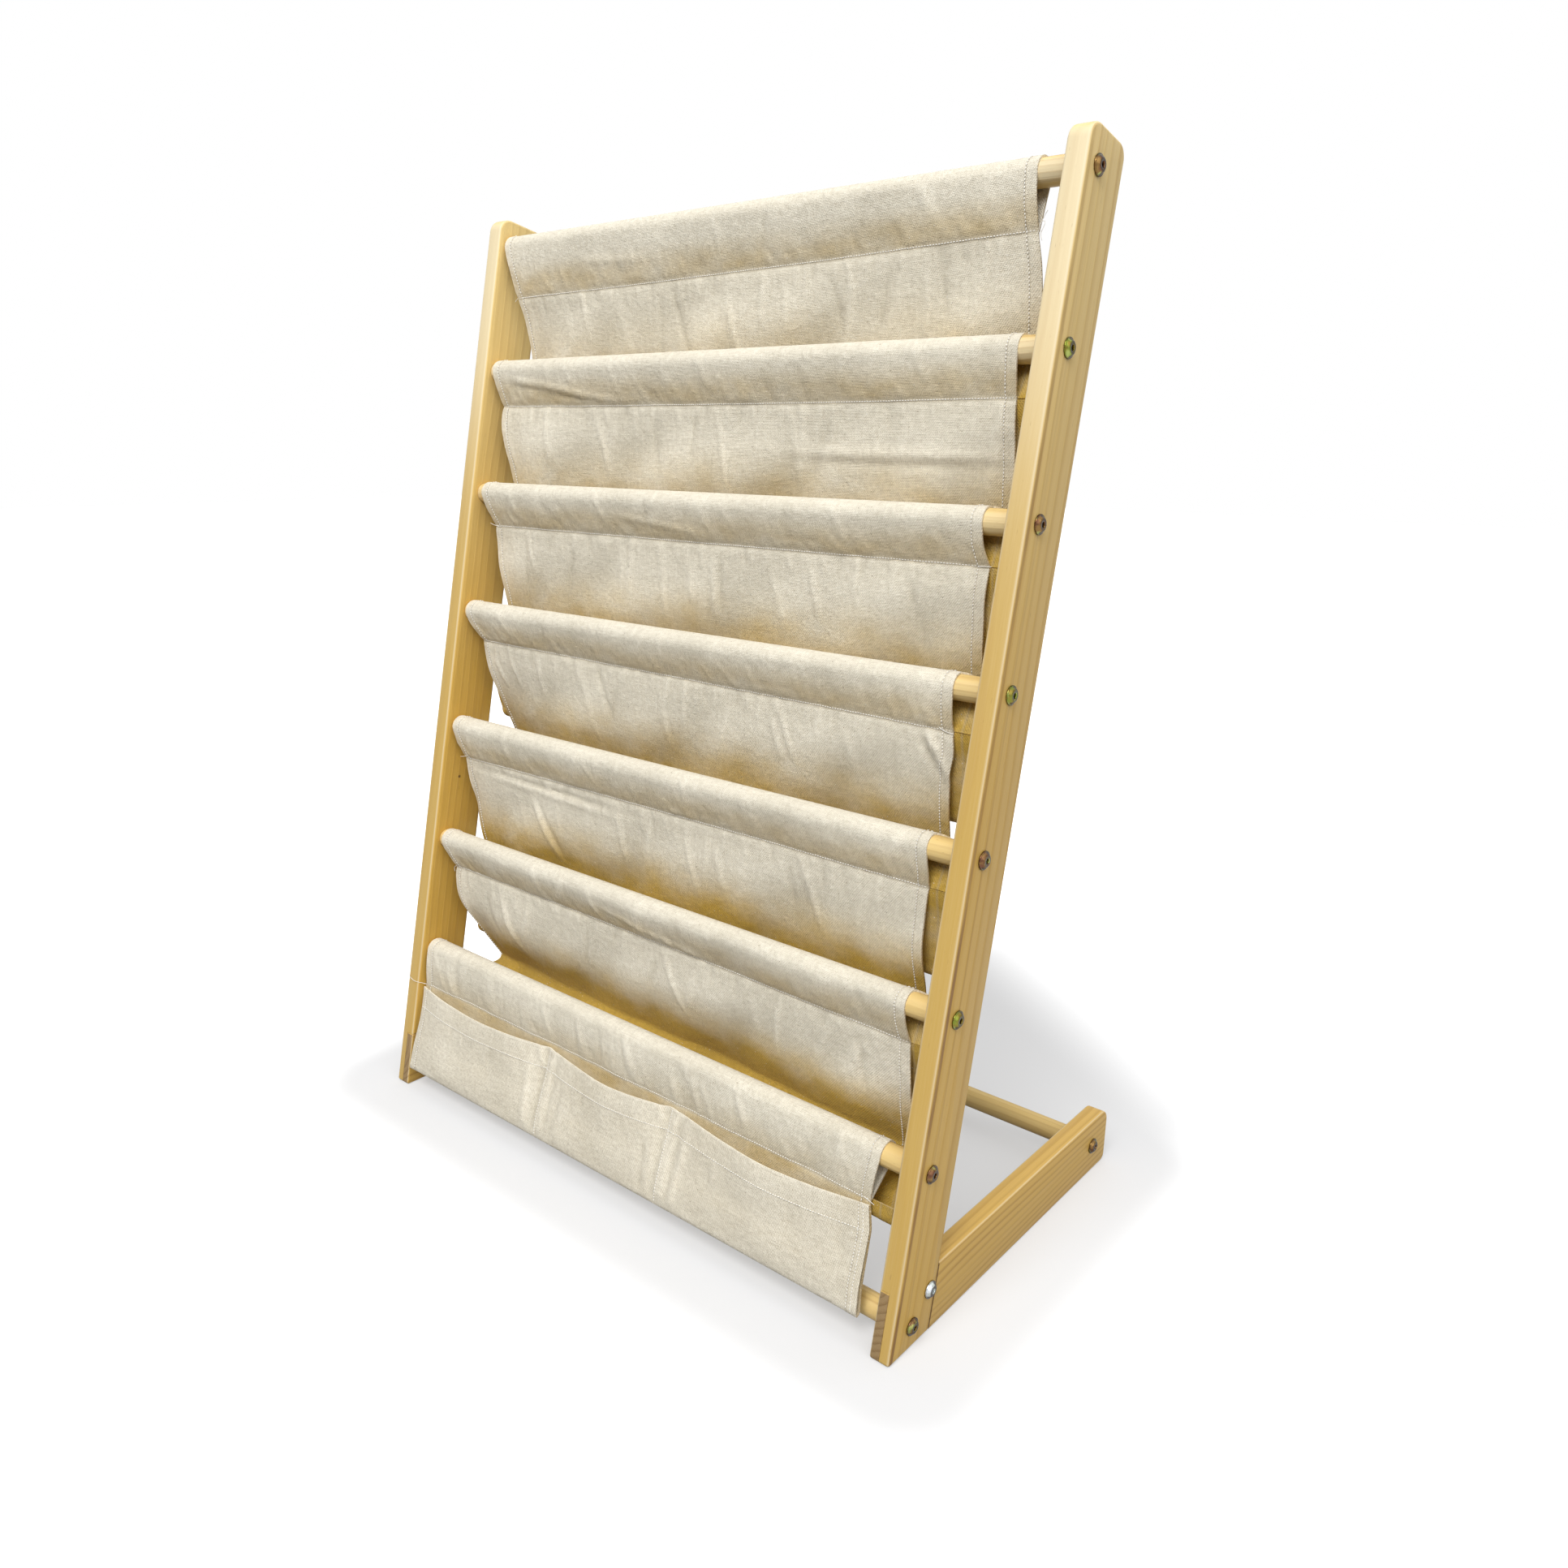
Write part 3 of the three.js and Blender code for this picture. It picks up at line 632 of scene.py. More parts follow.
def dowel_socket(place):
    length = SOCKET_DEPTH + OVERRUN
    centre = INNER_HALF + SOCKET_DEPTH - length / 2
    return cross_bar("socket", ROD_RADIUS + FIT, length, (centre, *place), 48)


def in_ladder(place):
    """A point of the room, in metres, as (set, rise) in millimetres."""
    point = LADDER.inverted() @ Vector(place)
    return point.y / MM, point.z / MM


def mirror(piece):
    """The other side's twin of a piece."""
    piece.data.transform(Matrix.Diagonal((-1, 1, 1, 1)))
    flip(piece)


class SHELF_OT_uprights(bpy.types.Operator):
    """Model the two uprights, halved at the foot over the legs"""

    bl_idname = "shelf.uprights"
    bl_label = "Uprights"

    def execute(self, context):
        toe = FRONT_SET * math.tan(LEAN)
        floor = LADDER.inverted().to_3x3() @ Vector((0, 0, -1))
        right = eased_board(
            "right_upright_board", (INNER_HALF, FRONT_SET, -20), (OUTER_HALF, REAR_SET, TOP_RISE),
            [((0, 0, 0), floor)],
            [((FRONT_SET, toe), 3.2), ((REAR_SET, TOP_RISE), 10.5), ((FRONT_SET, TOP_RISE), 13.0)])
        lap_top = (LEG_HEIGHT + FIT) / math.cos(LEAN)
        lap = box("lap", (INNER_HALF - OVERRUN, FRONT_SET - 30, -40),
                  (LAP_MIDDLE + FIT / 2, REAR_SET + 30, lap_top + 40))
        with Editing(lap):
            slope((0, 0, lap_top), -floor)
        cutters = [lap]
        for rise in ROD_RISE:
            cutters += [bolt_bore((0, rise)), dowel_socket((0, rise))]
        for place in (FRONT_RAIL, LAP_BOLT):
            cutters.append(bolt_bore(in_ladder(place)))
        carve(right, cutters)
        right.data.transform(LADDER)
        smooth(right)
        left = copy_of(right, "left_upright_board")
        mirror(left)
        grain = LADDER.to_3x3() @ Vector((0, 0, 1))
        rise_turn = (LEAN, 0, 0)
        shift = 0.062
        front = (LINE_DEPTH * math.cos(LEAN) + FRONT_SET) * MM + shift
        # The first stripe, just behind the front edge, is a painted dark reflection beside the eased edge;
        # the second is a faint grain line.
        stripes = ((front + 0.0031, 0.0021, 0.9), (front + 0.0178, 0.0009, 0.2))
        install(right, pine("pine, right upright", rise_turn, (-0.27, shift, 0.0), 0.0098, grain,
                            0.6, stripes=stripes), ["right_upright"])
        install(left, pine("pine, left upright", rise_turn, (0.345, 0.10, 0.3), 0.0070, grain, 0.35, 1.0,
                           mark=tuple(in_room(-INNER_HALF, 6.0, 333.0))),
                ["left_upright"])
        return {"FINISHED"}


class SHELF_OT_legs(bpy.types.Operator):
    """Model the two floor legs, halved at the front inside the uprights"""

    bl_idname = "shelf.legs"
    bl_label = "Legs"

    def execute(self, context):
        toe = lean_depth(0, FRONT_SET)
        brow = lean_depth(LEG_HEIGHT, FRONT_SET)
        lean_normal = Vector((0, -math.cos(LEAN), math.sin(LEAN)))
        right = eased_board(
            "right_leg_board", (INNER_HALF, toe - 20, 0), (OUTER_HALF, LEG_END, LEG_HEIGHT),
            [((0, toe, 0), lean_normal)],
            [((toe, 0), 3.2), ((LEG_END, 0), 7.0), ((LEG_END, LEG_HEIGHT), 12.0),
             ((brow, LEG_HEIGHT), 1.6)])
        cheek = box("cheek", (LAP_MIDDLE - FIT / 2, toe - 60, -10),
                    (OUTER_HALF + OVERRUN, lean_depth(LEG_HEIGHT, REAR_SET) + 60, LEG_HEIGHT + 10))
        with Editing(cheek):
            slope((0, lean_depth(0, REAR_SET + FIT), 0), -lean_normal)
        nut = cross_bar("nut hole", NUT_HOLE_RADIUS, THICK, (INNER_HALF, *LAP_BOLT.yz / MM), 24)
        cutters = [cheek]
        for rail in (FRONT_RAIL, REAR_RAIL):
            cutters += [bolt_bore(rail.yz / MM), dowel_socket(rail.yz / MM)]
        carve(right, cutters + [nut])
        smooth(right)
        left = copy_of(right, "left_leg_board")
        mirror(left)
        turn = (math.pi / 2, 0, 0)
        install(right, pine("pine, right leg", turn, (-0.27, 0.085, 0.05), 0.0054, (0, 1, 0)),
                ["right_leg"])
        install(left, pine("pine, left leg", turn, (0.36, 0.05, 0.4), 0.0060, (0, 1, 0)),
                ["left_leg"])
        return {"FINISHED"}


class SHELF_OT_dowels(bpy.types.Operator):
    """Turn one dowel and set it in all nine places"""

    bl_idname = "shelf.dowels"
    bl_label = "Dowels"

    def execute(self, context):
        dowel = cross_bar("dowel", ROD_RADIUS, 2 * ROD_HALF, (0, 0, 0), 48)
        with Editing(dowel, "EDGE") as edit:
            edit.pick(lambda e: all(abs(abs(v.co.x) - ROD_HALF * MM) < 1e-6 for v in e.verts))
            bpy.ops.mesh.bevel(offset=1.1 * MM, segments=3, profile=0.5, affect="EDGES")
        carve(dowel, [cross_bar("bore", BORE_RADIUS, 80, (end, 0, 0), 24)
                      for end in (-ROD_HALF, ROD_HALF)])
        smooth(dowel)
        finish = pine("pine, dowels", (0, -math.pi / 2, 0), (0.0, 0.03, 0.0), 0.0042, (1, 0, 0),
                      0.6, 0.1)
        for node in [f"rod_{tier}" for tier in range(1, TIERS + 1)] + ["front_rail", "rear_rail"]:
            piece = copy_of(dowel, f"{node}_dowel", Matrix.Translation(middle(node)))
            install(piece, finish, [node])
        bpy.data.objects.remove(dowel)
        return {"FINISHED"}


# Bolts

def domed_bolt(name, length, cap=3.4, rim=1.1, crown=4.0):
    """A flanged domed bolt along +X with its seat at X = 0."""
    head = HEAD_RADIUS - 0.8
    piece = cross_bar(name, head, rim, (rim / 2, 0, 0), 48)
    with Editing(piece) as edit:
        edit.pick(lambda face: face.normal.x > 0.9)
        steps = 7
        radii = [head - 0.9 + (crown - head + 0.9) * i / steps for i in range(steps + 1)]
        rise = [rim + (cap - rim) * math.sin(math.pi / 2 * i / steps) ** 0.9 for i in range(steps + 1)]
        at_radius, at_rise = head, rim
        for radius, height in zip(radii, rise):
            bpy.ops.mesh.inset(thickness=(at_radius - radius) * MM, depth=(height - at_rise) * MM)
            at_radius, at_rise = radius, height
        edit.pick(lambda face: face.normal.x < -0.9)
        bpy.ops.mesh.inset(thickness=(head - 3.0) * MM, depth=0)
        bpy.ops.mesh.extrude_region_move(TRANSFORM_OT_translate={"value": (-(length - 1) * MM, 0, 0)})
        bpy.ops.mesh.inset(thickness=0.8 * MM, depth=1 * MM)
    carve(piece, [cross_bar("key", 4 / math.sqrt(3), 6, (cap - 2.3 + 3, 0, 0), 6)])
    apply_modifier(piece, "BEVEL", width=0.28 * MM, segments=2, limit_method="ANGLE",
                   angle_limit=math.radians(50))
    smooth(piece, 40)
    return piece


class SHELF_OT_bolts(bpy.types.Operator):
    """Model a long bolt, a lap bolt and a sleeve nut, and set them in their places"""

    bl_idname = "shelf.bolts"
    bl_label = "Bolts"

    def execute(self, context):
        colours = context.scene.shelf_colours
        gold = zinc("yellow zinc, gold", colours.zinc_gold, (0.16, 0.19, 0.03), 0.9)
        rose = zinc("yellow zinc, rose", colours.zinc_rose, (0.20, 0.12, 0.04), 0.9)
        white = zinc("white zinc", colours.zinc_white, (0.52, 0.57, 0.63), 0.35)
        long_bolt = domed_bolt("long bolt", 50)
        lap_bolt = domed_bolt("lap bolt", 15)
        nut = self.sleeve_nut()
        turns = [0.2, 0.9, 0.5, 0.05, 0.75, 0.35, 0.6, 0.15, 0.85, 0.45]
        for label, side in SIDES.items():
            facing = Matrix.Rotation(0 if side > 0 else math.pi, 4, "Z")
            names = [f"rod_bolt_{tier}" for tier in range(1, TIERS + 1)]
            names += ["front_rail_bolt", "rear_rail_bolt", "lap_bolt"]
            for name, turn in zip(names, turns):
                node = f"{label}_{name}"
                place = Matrix.Translation((side * (OUTER_HALF + FIT) * MM, *middle(node).yz))
                place = place @ facing @ Matrix.Rotation(turn * math.pi / 3, 4, "X")
                lap = name == "lap_bolt"
                yellow = gold if name in ("rod_bolt_2", "rod_bolt_4", "rod_bolt_6") else rose
                piece = copy_of(lap_bolt if lap else long_bolt, f"{node}_domed", place)
                install(piece, white if lap else yellow, [node])
            node = f"{label}_lap_nut"
            place = Matrix.Translation((0, *middle(node).yz)) @ facing
            install(copy_of(nut, f"{node}_sleeve", place), white, [node])
        for pattern in (long_bolt, lap_bolt, nut):
            bpy.data.objects.remove(pattern)
        return {"FINISHED"}

    def sleeve_nut(self):
        """The flanged sleeve on the right leg's inner face, along +X."""
        face = INNER_HALF - FIT
        nut = cross_bar("sleeve nut", 7, 1.4, (face - 0.7, 0, 0), 40)
        with Editing(nut) as edit:
            edit.pick(lambda f: f.normal.x > 0.9)
            bpy.ops.mesh.inset(thickness=2.5 * MM, depth=0)
            bpy.ops.mesh.extrude_region_move(
                TRANSFORM_OT_translate={"value": ((LAP_MIDDLE - 2 * FIT - face) * MM, 0, 0)})
            bpy.ops.mesh.inset(thickness=1.2 * MM, depth=0)
            bpy.ops.mesh.extrude_region_move(
                TRANSFORM_OT_translate={"value": (-(LAP_MIDDLE - 2 * FIT - face) * MM, 0, 0)})
            edit.pick(lambda f: f.normal.x < -0.9)
            bpy.ops.mesh.inset(thickness=1.6 * MM, depth=0.7 * MM)
            bpy.ops.mesh.inset(thickness=3.0 * MM, depth=0)
            bpy.ops.mesh.inset(thickness=0.05 * MM, depth=-1.0 * MM)
        apply_modifier(nut, "BEVEL", width=0.25 * MM, segments=2, limit_method="ANGLE",
                       angle_limit=math.radians(50))
        smooth(nut, 40)
        return nut


# Cloth

# What the operators hand on to each other: the cloths by tier and the finishes that they share.
CLOTHS = {}
FINISHES = {}

# All tables run from the top tier to the lowest. A drop is a rise counted from the
# tier's own dowel, so it is negative under the dowel.
SEAM_LEFT = (-47.0, -33.0, -31.0, -28.0, -31.5, -27.0, -37.5)
SEAM_RIGHT = (-38.0, -33.0, -31.5, -33.0, -31.0, -30.5, -36.0)

# Set of the seams behind the line of dowels, at the left, in the middle and at the right.
SEAM_BACK = (
    (4.0, 7.0, 2.0), (3.0, 6.0, 1.0), (6.0, 6.5, 5.0), (6.0, 7.0, 1.0),
    (5.0, 6.5, 2.0), (5.0, 7.0, 3.0), (-8.0, -6.5, -8.5),
)

# X of the side edges at their drops.
EDGE_LEFT = (
    {0: -303, -23: -298, -47: -292, -60: -289, -101: -285, -130: -283},
    {0: -301, -10: -299, -33: -294, -41: -295, -61: -293, -88: -288, -130: -282},
    {0: -298, -9: -296, -31: -289, -37: -290, -66: -289, -108: -284, -130: -282},
    {0: -302, -8: -301, -18: -295, -28: -288, -36: -289, -71: -285, -95: -280, -130: -270},
    {0: -302, -9: -301, -26: -297, -32: -295, -45: -294, -82: -288, -130: -281},
    {0: -300, -10: -297, -27: -289, -34: -292, -56: -290, -81: -281, -105: -270, -132: -258},
    {0: -302, -34: -301, -40: -303, -78: -299, -127: -299},
)
EDGE_RIGHT = (
    {0: 283, -16: 283, -38: 284, -56: 287, -87: 288, -130: 287},
    {0: 290, -33: 289, -95: 289, -130: 288},
    {0: 284, -19: 284, -29: 287, -36: 287, -60: 285, -130: 284},
    {0: 282, -24: 281, -33: 281, -51: 283, -62: 280, -130: 278},
    {0: 281, -20: 282, -33: 281, -48: 280, -130: 278},
    {0: 284, -16: 284, -30: 286, -63: 289, -130: 288},
    {0: 284, -17: 282, -36: 280, -42: 281, -58: 285, -105: 286, -124: 288},
)
WALL_LEFT, WALL_RIGHT = -292.0, 299.0    # edges of the pockets' front walls

# Set of the hanging cloth at drops of -50, -70, -90, -110, -130 and -150: at the left
# edge, over most of the width, and at the right edge.
DROPS = (-50.0, -70.0, -90.0, -110.0, -130.0, -150.0)
BACK_LEFT = (
    (5, 15, 22, 27, 31, 34), (2, 7, 14, 21, 28, 32), (11, 16, 22, 29, 34, 38),
    (13, 22, 31, 43, 52, 56), (9, 15, 21, 28, 36, 42), (8, 14, 32, 48, 63, 72),
)
BACK_MIDDLE = (
    (8, 13, 18, 24, 30, 35), (10, 14, 19, 25, 32, 37), (10, 15, 20, 26, 33, 38),
    (10, 16, 23, 31, 38, 43), (10, 15, 21, 28, 35, 40), (10, 15, 24, 36, 47, 55),
)
BACK_RIGHT = (
    (6, 13, 18, 25, 31, 36), (4, 10, 16, 23, 30, 36), (6, 11, 17, 24, 31, 36),
    (3, 8, 16, 25, 32, 37), (4, 8, 15, 24, 31, 36), (6, 12, 17, 24, 33, 43),
)


def ease(share):
    share = np.clip(share, 0, 1)
    return share * share * (3 - 2 * share)


def three(values, q):
    """A value at the left, in the middle and at the right, blended over a share of the width."""
    left, centre, right = values
    return centre + (left - centre) * (1 - ease(q / 0.30)) + (right - centre) * ease((q - 0.62) / 0.38)


def seam_drop(tier, q):
    return SEAM_LEFT[tier] + (SEAM_RIGHT[tier] - SEAM_LEFT[tier]) * q


def softened(table, drop, radius=4.0):
    """A table read with its corners rounded off."""
    knots = sorted(table)
    values = [table[knot] for knot in knots]
    drop = np.asarray(drop, float)
    return sum(np.interp(drop + shift * radius, knots, values) for shift in (-1, -0.5, 0, 0.5, 1)) / 5


def back_set(tier, q, drop):
    """Set of a tier's hanging cloth at a share of the width and a drop under its dowel."""
    seam = float(seam_drop(tier, q))
    table = {seam: float(three(SEAM_BACK[tier], q))}
    for knot, *sets in zip(DROPS, BACK_LEFT[tier], BACK_MIDDLE[tier], BACK_RIGHT[tier]):
        if knot < seam - 2:
            table[knot] = float(three(sets, q))
    table[-200.0] = table[DROPS[-1]] + 12
    drop = np.asarray(drop)
    low = np.minimum(drop, seam - 0.01)
    rounded = softened(table, low, 7.0)
    exact = np.interp(low, sorted(table), [table[knot] for knot in sorted(table)])
    return np.where(drop > seam - 8, rounded + (exact - rounded) * ease((drop - seam + 8) / 8), rounded)


class Creases:
    """Small creases on a flat cut: each is a ridge or valley with a place, slant, length and width."""

    def __init__(self):
        self.rows = []

    def add(self, x, v, slant, length, width, depth):
        self.rows.append((x, v, math.radians(slant), length, width, depth))

    def along(self, dice, width, v, slants, lengths, spacing, depth, widths=(1.8, 3.6), down=1):
        """A row of creases that start near a line at v and run down or up from it."""
        x = dice.uniform(4, spacing)
        while x < width - 4:
            slant, length = dice.uniform(*slants), dice.uniform(*lengths)
            self.add(x + math.cos(math.radians(slant)) * length * 0.4 * down,
                     v + abs(math.sin(math.radians(slant))) * length * 0.42 * down, slant, length,
                     dice.uniform(*widths), depth * dice.uniform(0.35, 1.0) * dice.choice((1, 1, -1)))
            x += dice.uniform(0.5, 1.5) * spacing

    def height(self, x, v):
        total = np.zeros(np.broadcast(x, v).shape)
        for x0, v0, slant, length, width, depth in self.rows:
            dx, dv = x - x0, v - v0
            run = dx * math.cos(slant) + dv * math.sin(slant)
            side = -dx * math.sin(slant) + dv * math.cos(slant)
            total += depth * np.exp(-(side / width) ** 2) * np.exp(-(run / (length / 2)) ** 4)
        return total


def ripple(x, v, waves):
    """Long soft waves: each has a length along X and V, a phase and a height."""
    total = np.zeros(np.broadcast(x, v).shape)
    for along_x, along_v, phase, height in waves:
        total += height * np.sin(2 * math.pi * (x / along_x + v / along_v) + phase)
    return total


def evenly(line, count):
    """A line of (set, rise) points, spaced evenly along its length, and that length."""
    line = np.asarray(line, float)
    steps = np.hypot(*np.diff(line, axis=0).T)
    along = np.concatenate([[0], np.cumsum(steps)])
    at = np.linspace(0, along[-1], count)
    return np.stack([np.interp(at, along, line[:, k]) for k in (0, 1)], axis=1), along[-1]


class Cloth:
    """A cut of canvas in the leaning frame: columns across it and rows along it.

    It starts behind a seam, goes up behind the dowel, over it, down in front to the
    seam and on from there. Its outer face is the one that shows on the dowel.
    """

    def __init__(self, name, tier, *sections):
        sizes = bpy.context.scene.shelf_sizes
        step = sizes.grid_step / MM
        self.name, self.tier = name, tier
        self.width = EDGE_RIGHT[tier][0] - EDGE_LEFT[tier][0]
        self.q = np.linspace(0, 1, round(self.width / step) + 1)
        parts = [[section(tier, q) for section in sections] for q in self.q]
        grids, self.marks, stations = [], [0.0], []
        for k in range(len(sections)):
            length = float(np.median([evenly(part[k], 2)[1] for part in parts]))
            rows = round(length / step) + 1
            grid = np.stack([evenly(part[k], rows)[0] for part in parts])
            skip = 1 if k else 0
            grids.append(grid[:, skip:])
            stations.append(np.linspace(self.marks[-1], self.marks[-1] + length, rows)[skip:])
            self.marks.append(self.marks[-1] + length)
        grid = np.concatenate(grids, axis=1)
        self.back, self.up = grid[..., 0], grid[..., 1]
        self.v = np.repeat(np.concatenate(stations)[None], len(self.q), axis=0)
        self.length = self.marks[-1]
        self.drop = self.up - ROD_RISE[tier]
        self.flat_x = np.repeat((self.q * self.width)[:, None], self.v.shape[1], axis=1)
        self.x = self.flat_x + EDGE_LEFT[tier][0]
        # Per point: hollow holds painted shade, shown the painted highlight and shade of the relief.
        self.hollow = np.zeros_like(self.x)
        self.shown = np.zeros_like(self.x)

    def set_edges(self, left, right, reach=110.0):
        """Moves the side edges to X positions, one for each place, and the cloth near them along."""
        for edge, start, distance in (
            (left, EDGE_LEFT[self.tier][0], self.flat_x),
            (right, EDGE_RIGHT[self.tier][0], self.width - self.flat_x),
        ):
            self.x = self.x + (edge - start) * np.clip(1 - distance / reach, 0, 1) ** 2

    def displace(self, height, face=1):
        """Moves the cloth out along its own normals. Ridges of the face that shows get a painted highlight
        and its valleys painted shade.
        """
        relief = np.clip(height * face, -2, 2)
        self.shown = self.shown + relief * np.where(relief > 0, 0.05, 0.075)
        points = np.stack([self.x, self.back, self.up], axis=-1)
        normal = -np.cross(np.gradient(points, axis=0), np.gradient(points, axis=1))
        normal /= np.linalg.norm(normal, axis=-1, keepdims=True)
        self.x = self.x + normal[..., 0] * height
        self.back = self.back + normal[..., 1] * height
        self.up = self.up + normal[..., 2] * height

    def at(self, x, v):
        """Places and frames of the cloth at flat positions, in metres: place, east, north, out."""
        columns, rows = self.x.shape
        i = np.clip(np.asarray(x, float) / self.width * (columns - 1), 0, columns - 1.001)
        j = np.clip(np.interp(v, self.v[0], np.arange(rows)), 0, rows - 1.001)
        i0, j0 = i.astype(int), j.astype(int)
        a, b = (i - i0)[:, None], (j - j0)[:, None]
        points = in_room(self.x, self.back, self.up)
        p00, p10, p01, p11 = (points[i0 + m, j0 + n] for m, n in ((0, 0), (1, 0), (0, 1), (1, 1)))
        place = (p00 * (1 - a) + p10 * a) * (1 - b) + (p01 * (1 - a) + p11 * a) * b
        east = (p10 - p00) * (1 - b) + (p11 - p01) * b
        north = (p01 - p00) * (1 - a) + (p11 - p10) * a
        out = -np.cross(east, north)
        return place, *(w / np.linalg.norm(w, axis=1, keepdims=True) for w in (east, north, out))

    def sew(self, nodes, held, rests_on, thick_rows=()):
        """Makes the mesh: a flat grid of the cut's size, hung in its place and given its thickness."""
        sizes = bpy.context.scene.shelf_sizes
        columns, rows = self.x.shape
        piece = primitive(self.name, bpy.ops.mesh.primitive_grid_add,
                          x_subdivisions=columns - 1, y_subdivisions=rows - 1, size=1)
        mesh = piece.data
        flat = np.empty(len(mesh.vertices) * 3, np.float32)
        mesh.vertices.foreach_get("co", flat)
        flat = flat.reshape(-1, 3)
        i = np.rint((flat[:, 0] + 0.5) * (columns - 1)).astype(int)
        j = np.rint((flat[:, 1] + 0.5) * (rows - 1)).astype(int)
        places = in_room(self.x, self.back, self.up)[i, j]
        mesh.vertices.foreach_set("co", places.astype(np.float32).ravel())
        hem = sizes.hem_width / MM
        from_left = self.flat_x[i, j]
        from_edge = np.minimum(from_left, self.width - from_left)
        along = self.v[i, j]
        thick = from_edge < hem
        for low, high in thick_rows:
            thick |= (along >= low) & (along <= high)
        group = piece.vertex_groups.new(name="hem")
        group.add([int(k) for k in np.flatnonzero(thick)], 1.0, "REPLACE")
        # hollow and shown carry the painted shade and highlight to the canvas.
        for name, values in (("edge", (from_edge - hem + STITCH_INSET) * MM), ("hollow", self.hollow[i, j]),
                             ("seam", (along - self.marks[1]) * MM), ("shown", self.shown[i, j])):
            attribute = mesh.attributes.new(name, "FLOAT", "POINT")
            attribute.data.foreach_set("value", values.astype(np.float32))
        while mesh.uv_layers:
            mesh.uv_layers.remove(mesh.uv_layers[0])
        uv = mesh.uv_layers.new(name="cut")
        corners = np.empty(len(mesh.loops), np.int32)
        mesh.loops.foreach_get("vertex_index", corners)
        cut = np.stack([from_left, self.length - along], axis=1) * MM
        uv.data.foreach_set("uv", cut[corners].astype(np.float32).ravel())
        mesh.update()
        flip(piece)
        apply_modifier(piece, "SOLIDIFY", thickness=1.5 * sizes.cloth_thickness, offset=0.0,
                       use_even_offset=False, use_rim=True, vertex_group="hem",
                       thickness_vertex_group=2 / 3)
        smooth(piece, 50)
        install(piece, FINISHES["canvas"], nodes)
        self.piece, self.held, self.rests_on = piece, held, rests_on
        CLOTHS[self.tier] = self


CLOTH_OFF_DOWEL = 0.85   # from a dowel to the middle of the cloth round it
LAYER_GAP = 1.6          # between the two layers of cloth that a seam joins
DEEPEST_CREASE = 1.0     # how far a crease may go in on a casing
POCKET_DEPTH = 104.0     # from the next dowel down to the foot of a pocket
LAST_POCKET_DEPTH = 51.0
POCKET_FOLD = 9.0        # radius of the fold at a pocket's foot
STITCH_INSET = 1.2       # from the inner edge of a hem to its stitches
MOUTH_HEM = 19.0         # width of the hem at the pouch's mouth
ABOVE_SEAM, BELOW_SEAM = 58, 100    # how far a side hem's stitches go on from a seam


def over_dowel(tier, q):
    """Section from behind the seam up, over the dowel and down in front to the seam."""
    rise, drop = ROD_RISE[tier], float(seam_drop(tier, q))
    front = float(three(SEAM_BACK[tier], q))
    wrap = ROD_RADIUS + CLOTH_OFF_DOWEL
    line = []
    ends = []
    for back, side in ((front + LAYER_GAP, 1), (front, -1)):
        reach = math.hypot(back, drop)
        angle = math.atan2(drop, back) + side * math.acos(wrap / reach)
        ends.append((back, angle))
    (rear, first), (front, last) = ends
    last += 2 * math.pi
    corner = (wrap * math.cos(first), wrap * math.sin(first))
    for share in np.linspace(0, 1, 8)[:-1]:
        puff = 0.6 * math.sin(math.pi * share)
        line.append((rear + (corner[0] - rear) * share + puff, rise + drop + (corner[1] - drop) * share))
    for turn in np.linspace(first, last, 22):
        line.append((wrap * math.cos(turn), rise + wrap * math.sin(turn)))
    corner = (wrap * math.cos(last), wrap * math.sin(last))
    for share in np.linspace(0, 1, 10)[1:]:
        puff = 1.3 * math.sin(math.pi * share) * (1 - 0.3 * share)
        line.append((corner[0] + (front - corner[0]) * share - puff,
                     rise + corner[1] + (drop - corner[1]) * share))
    return line


def pocket(tier, q):
    """Section of a sling: down from its seam, round the pocket and up behind the next seam."""
    last = tier == TIERS - 2
    rise, next_rise = ROD_RISE[tier], ROD_RISE[tier + 1]
    seam, next_seam = float(seam_drop(tier, q)), float(seam_drop(tier + 1, q))
    depth = (LAST_POCKET_DEPTH if last else POCKET_DEPTH) + 1.5 * math.sin(9.0 * q + tier)
    bottom = -depth + POCKET_FOLD
    line = [(float(back_set(tier, q, drop)), rise + drop) for drop in np.linspace(seam, -PITCH, 30)]
    behind = line[-1][0]
    next_back = float(three(SEAM_BACK[tier + 1], q)) + LAYER_GAP

    def front(drop):
        if last:
            return next_back + 3.0 * float(ease(-drop / 60))
        down = (next_seam - drop) / (next_seam - bottom)
        return float(back_set(tier + 1, q, drop)) + LAYER_GAP + 5.5 * float(ease(down * 2.5))

    front_bottom = front(bottom)
    rear_bottom = max(front_bottom + 2 * POCKET_FOLD, behind + 4.0)
    if last:
        rear_bottom = front_bottom + 17.0
    for share in np.linspace(0, 1, 14)[1:]:
        line.append((behind + (rear_bottom - behind) * float(ease(share)), next_rise + bottom * share))
    half, centre = (rear_bottom - front_bottom) / 2, (rear_bottom + front_bottom) / 2
    for turn in np.linspace(0, math.pi, 14)[1:-1]:
        line.append((centre + half * math.cos(turn), next_rise + bottom - POCKET_FOLD * math.sin(turn)))
    for drop in np.linspace(bottom, next_seam - 0.4, 20):
        line.append((front(drop), next_rise + drop))
    return line


# Painted shade: how much deeper the canvas is drawn above a seam and at a sling's foot, more on the lower
# slings.
CASING_SHADE = 0.36
FOOT_SHADE = 0.30
FOOT_SHADE_STEP = 0.17


def seam_shade(past_seam):
    """Painted shade: the cloth on both sides of a seam is drawn a little darker."""
    return -0.06 * np.exp(-(past_seam / 22.0) ** 2)


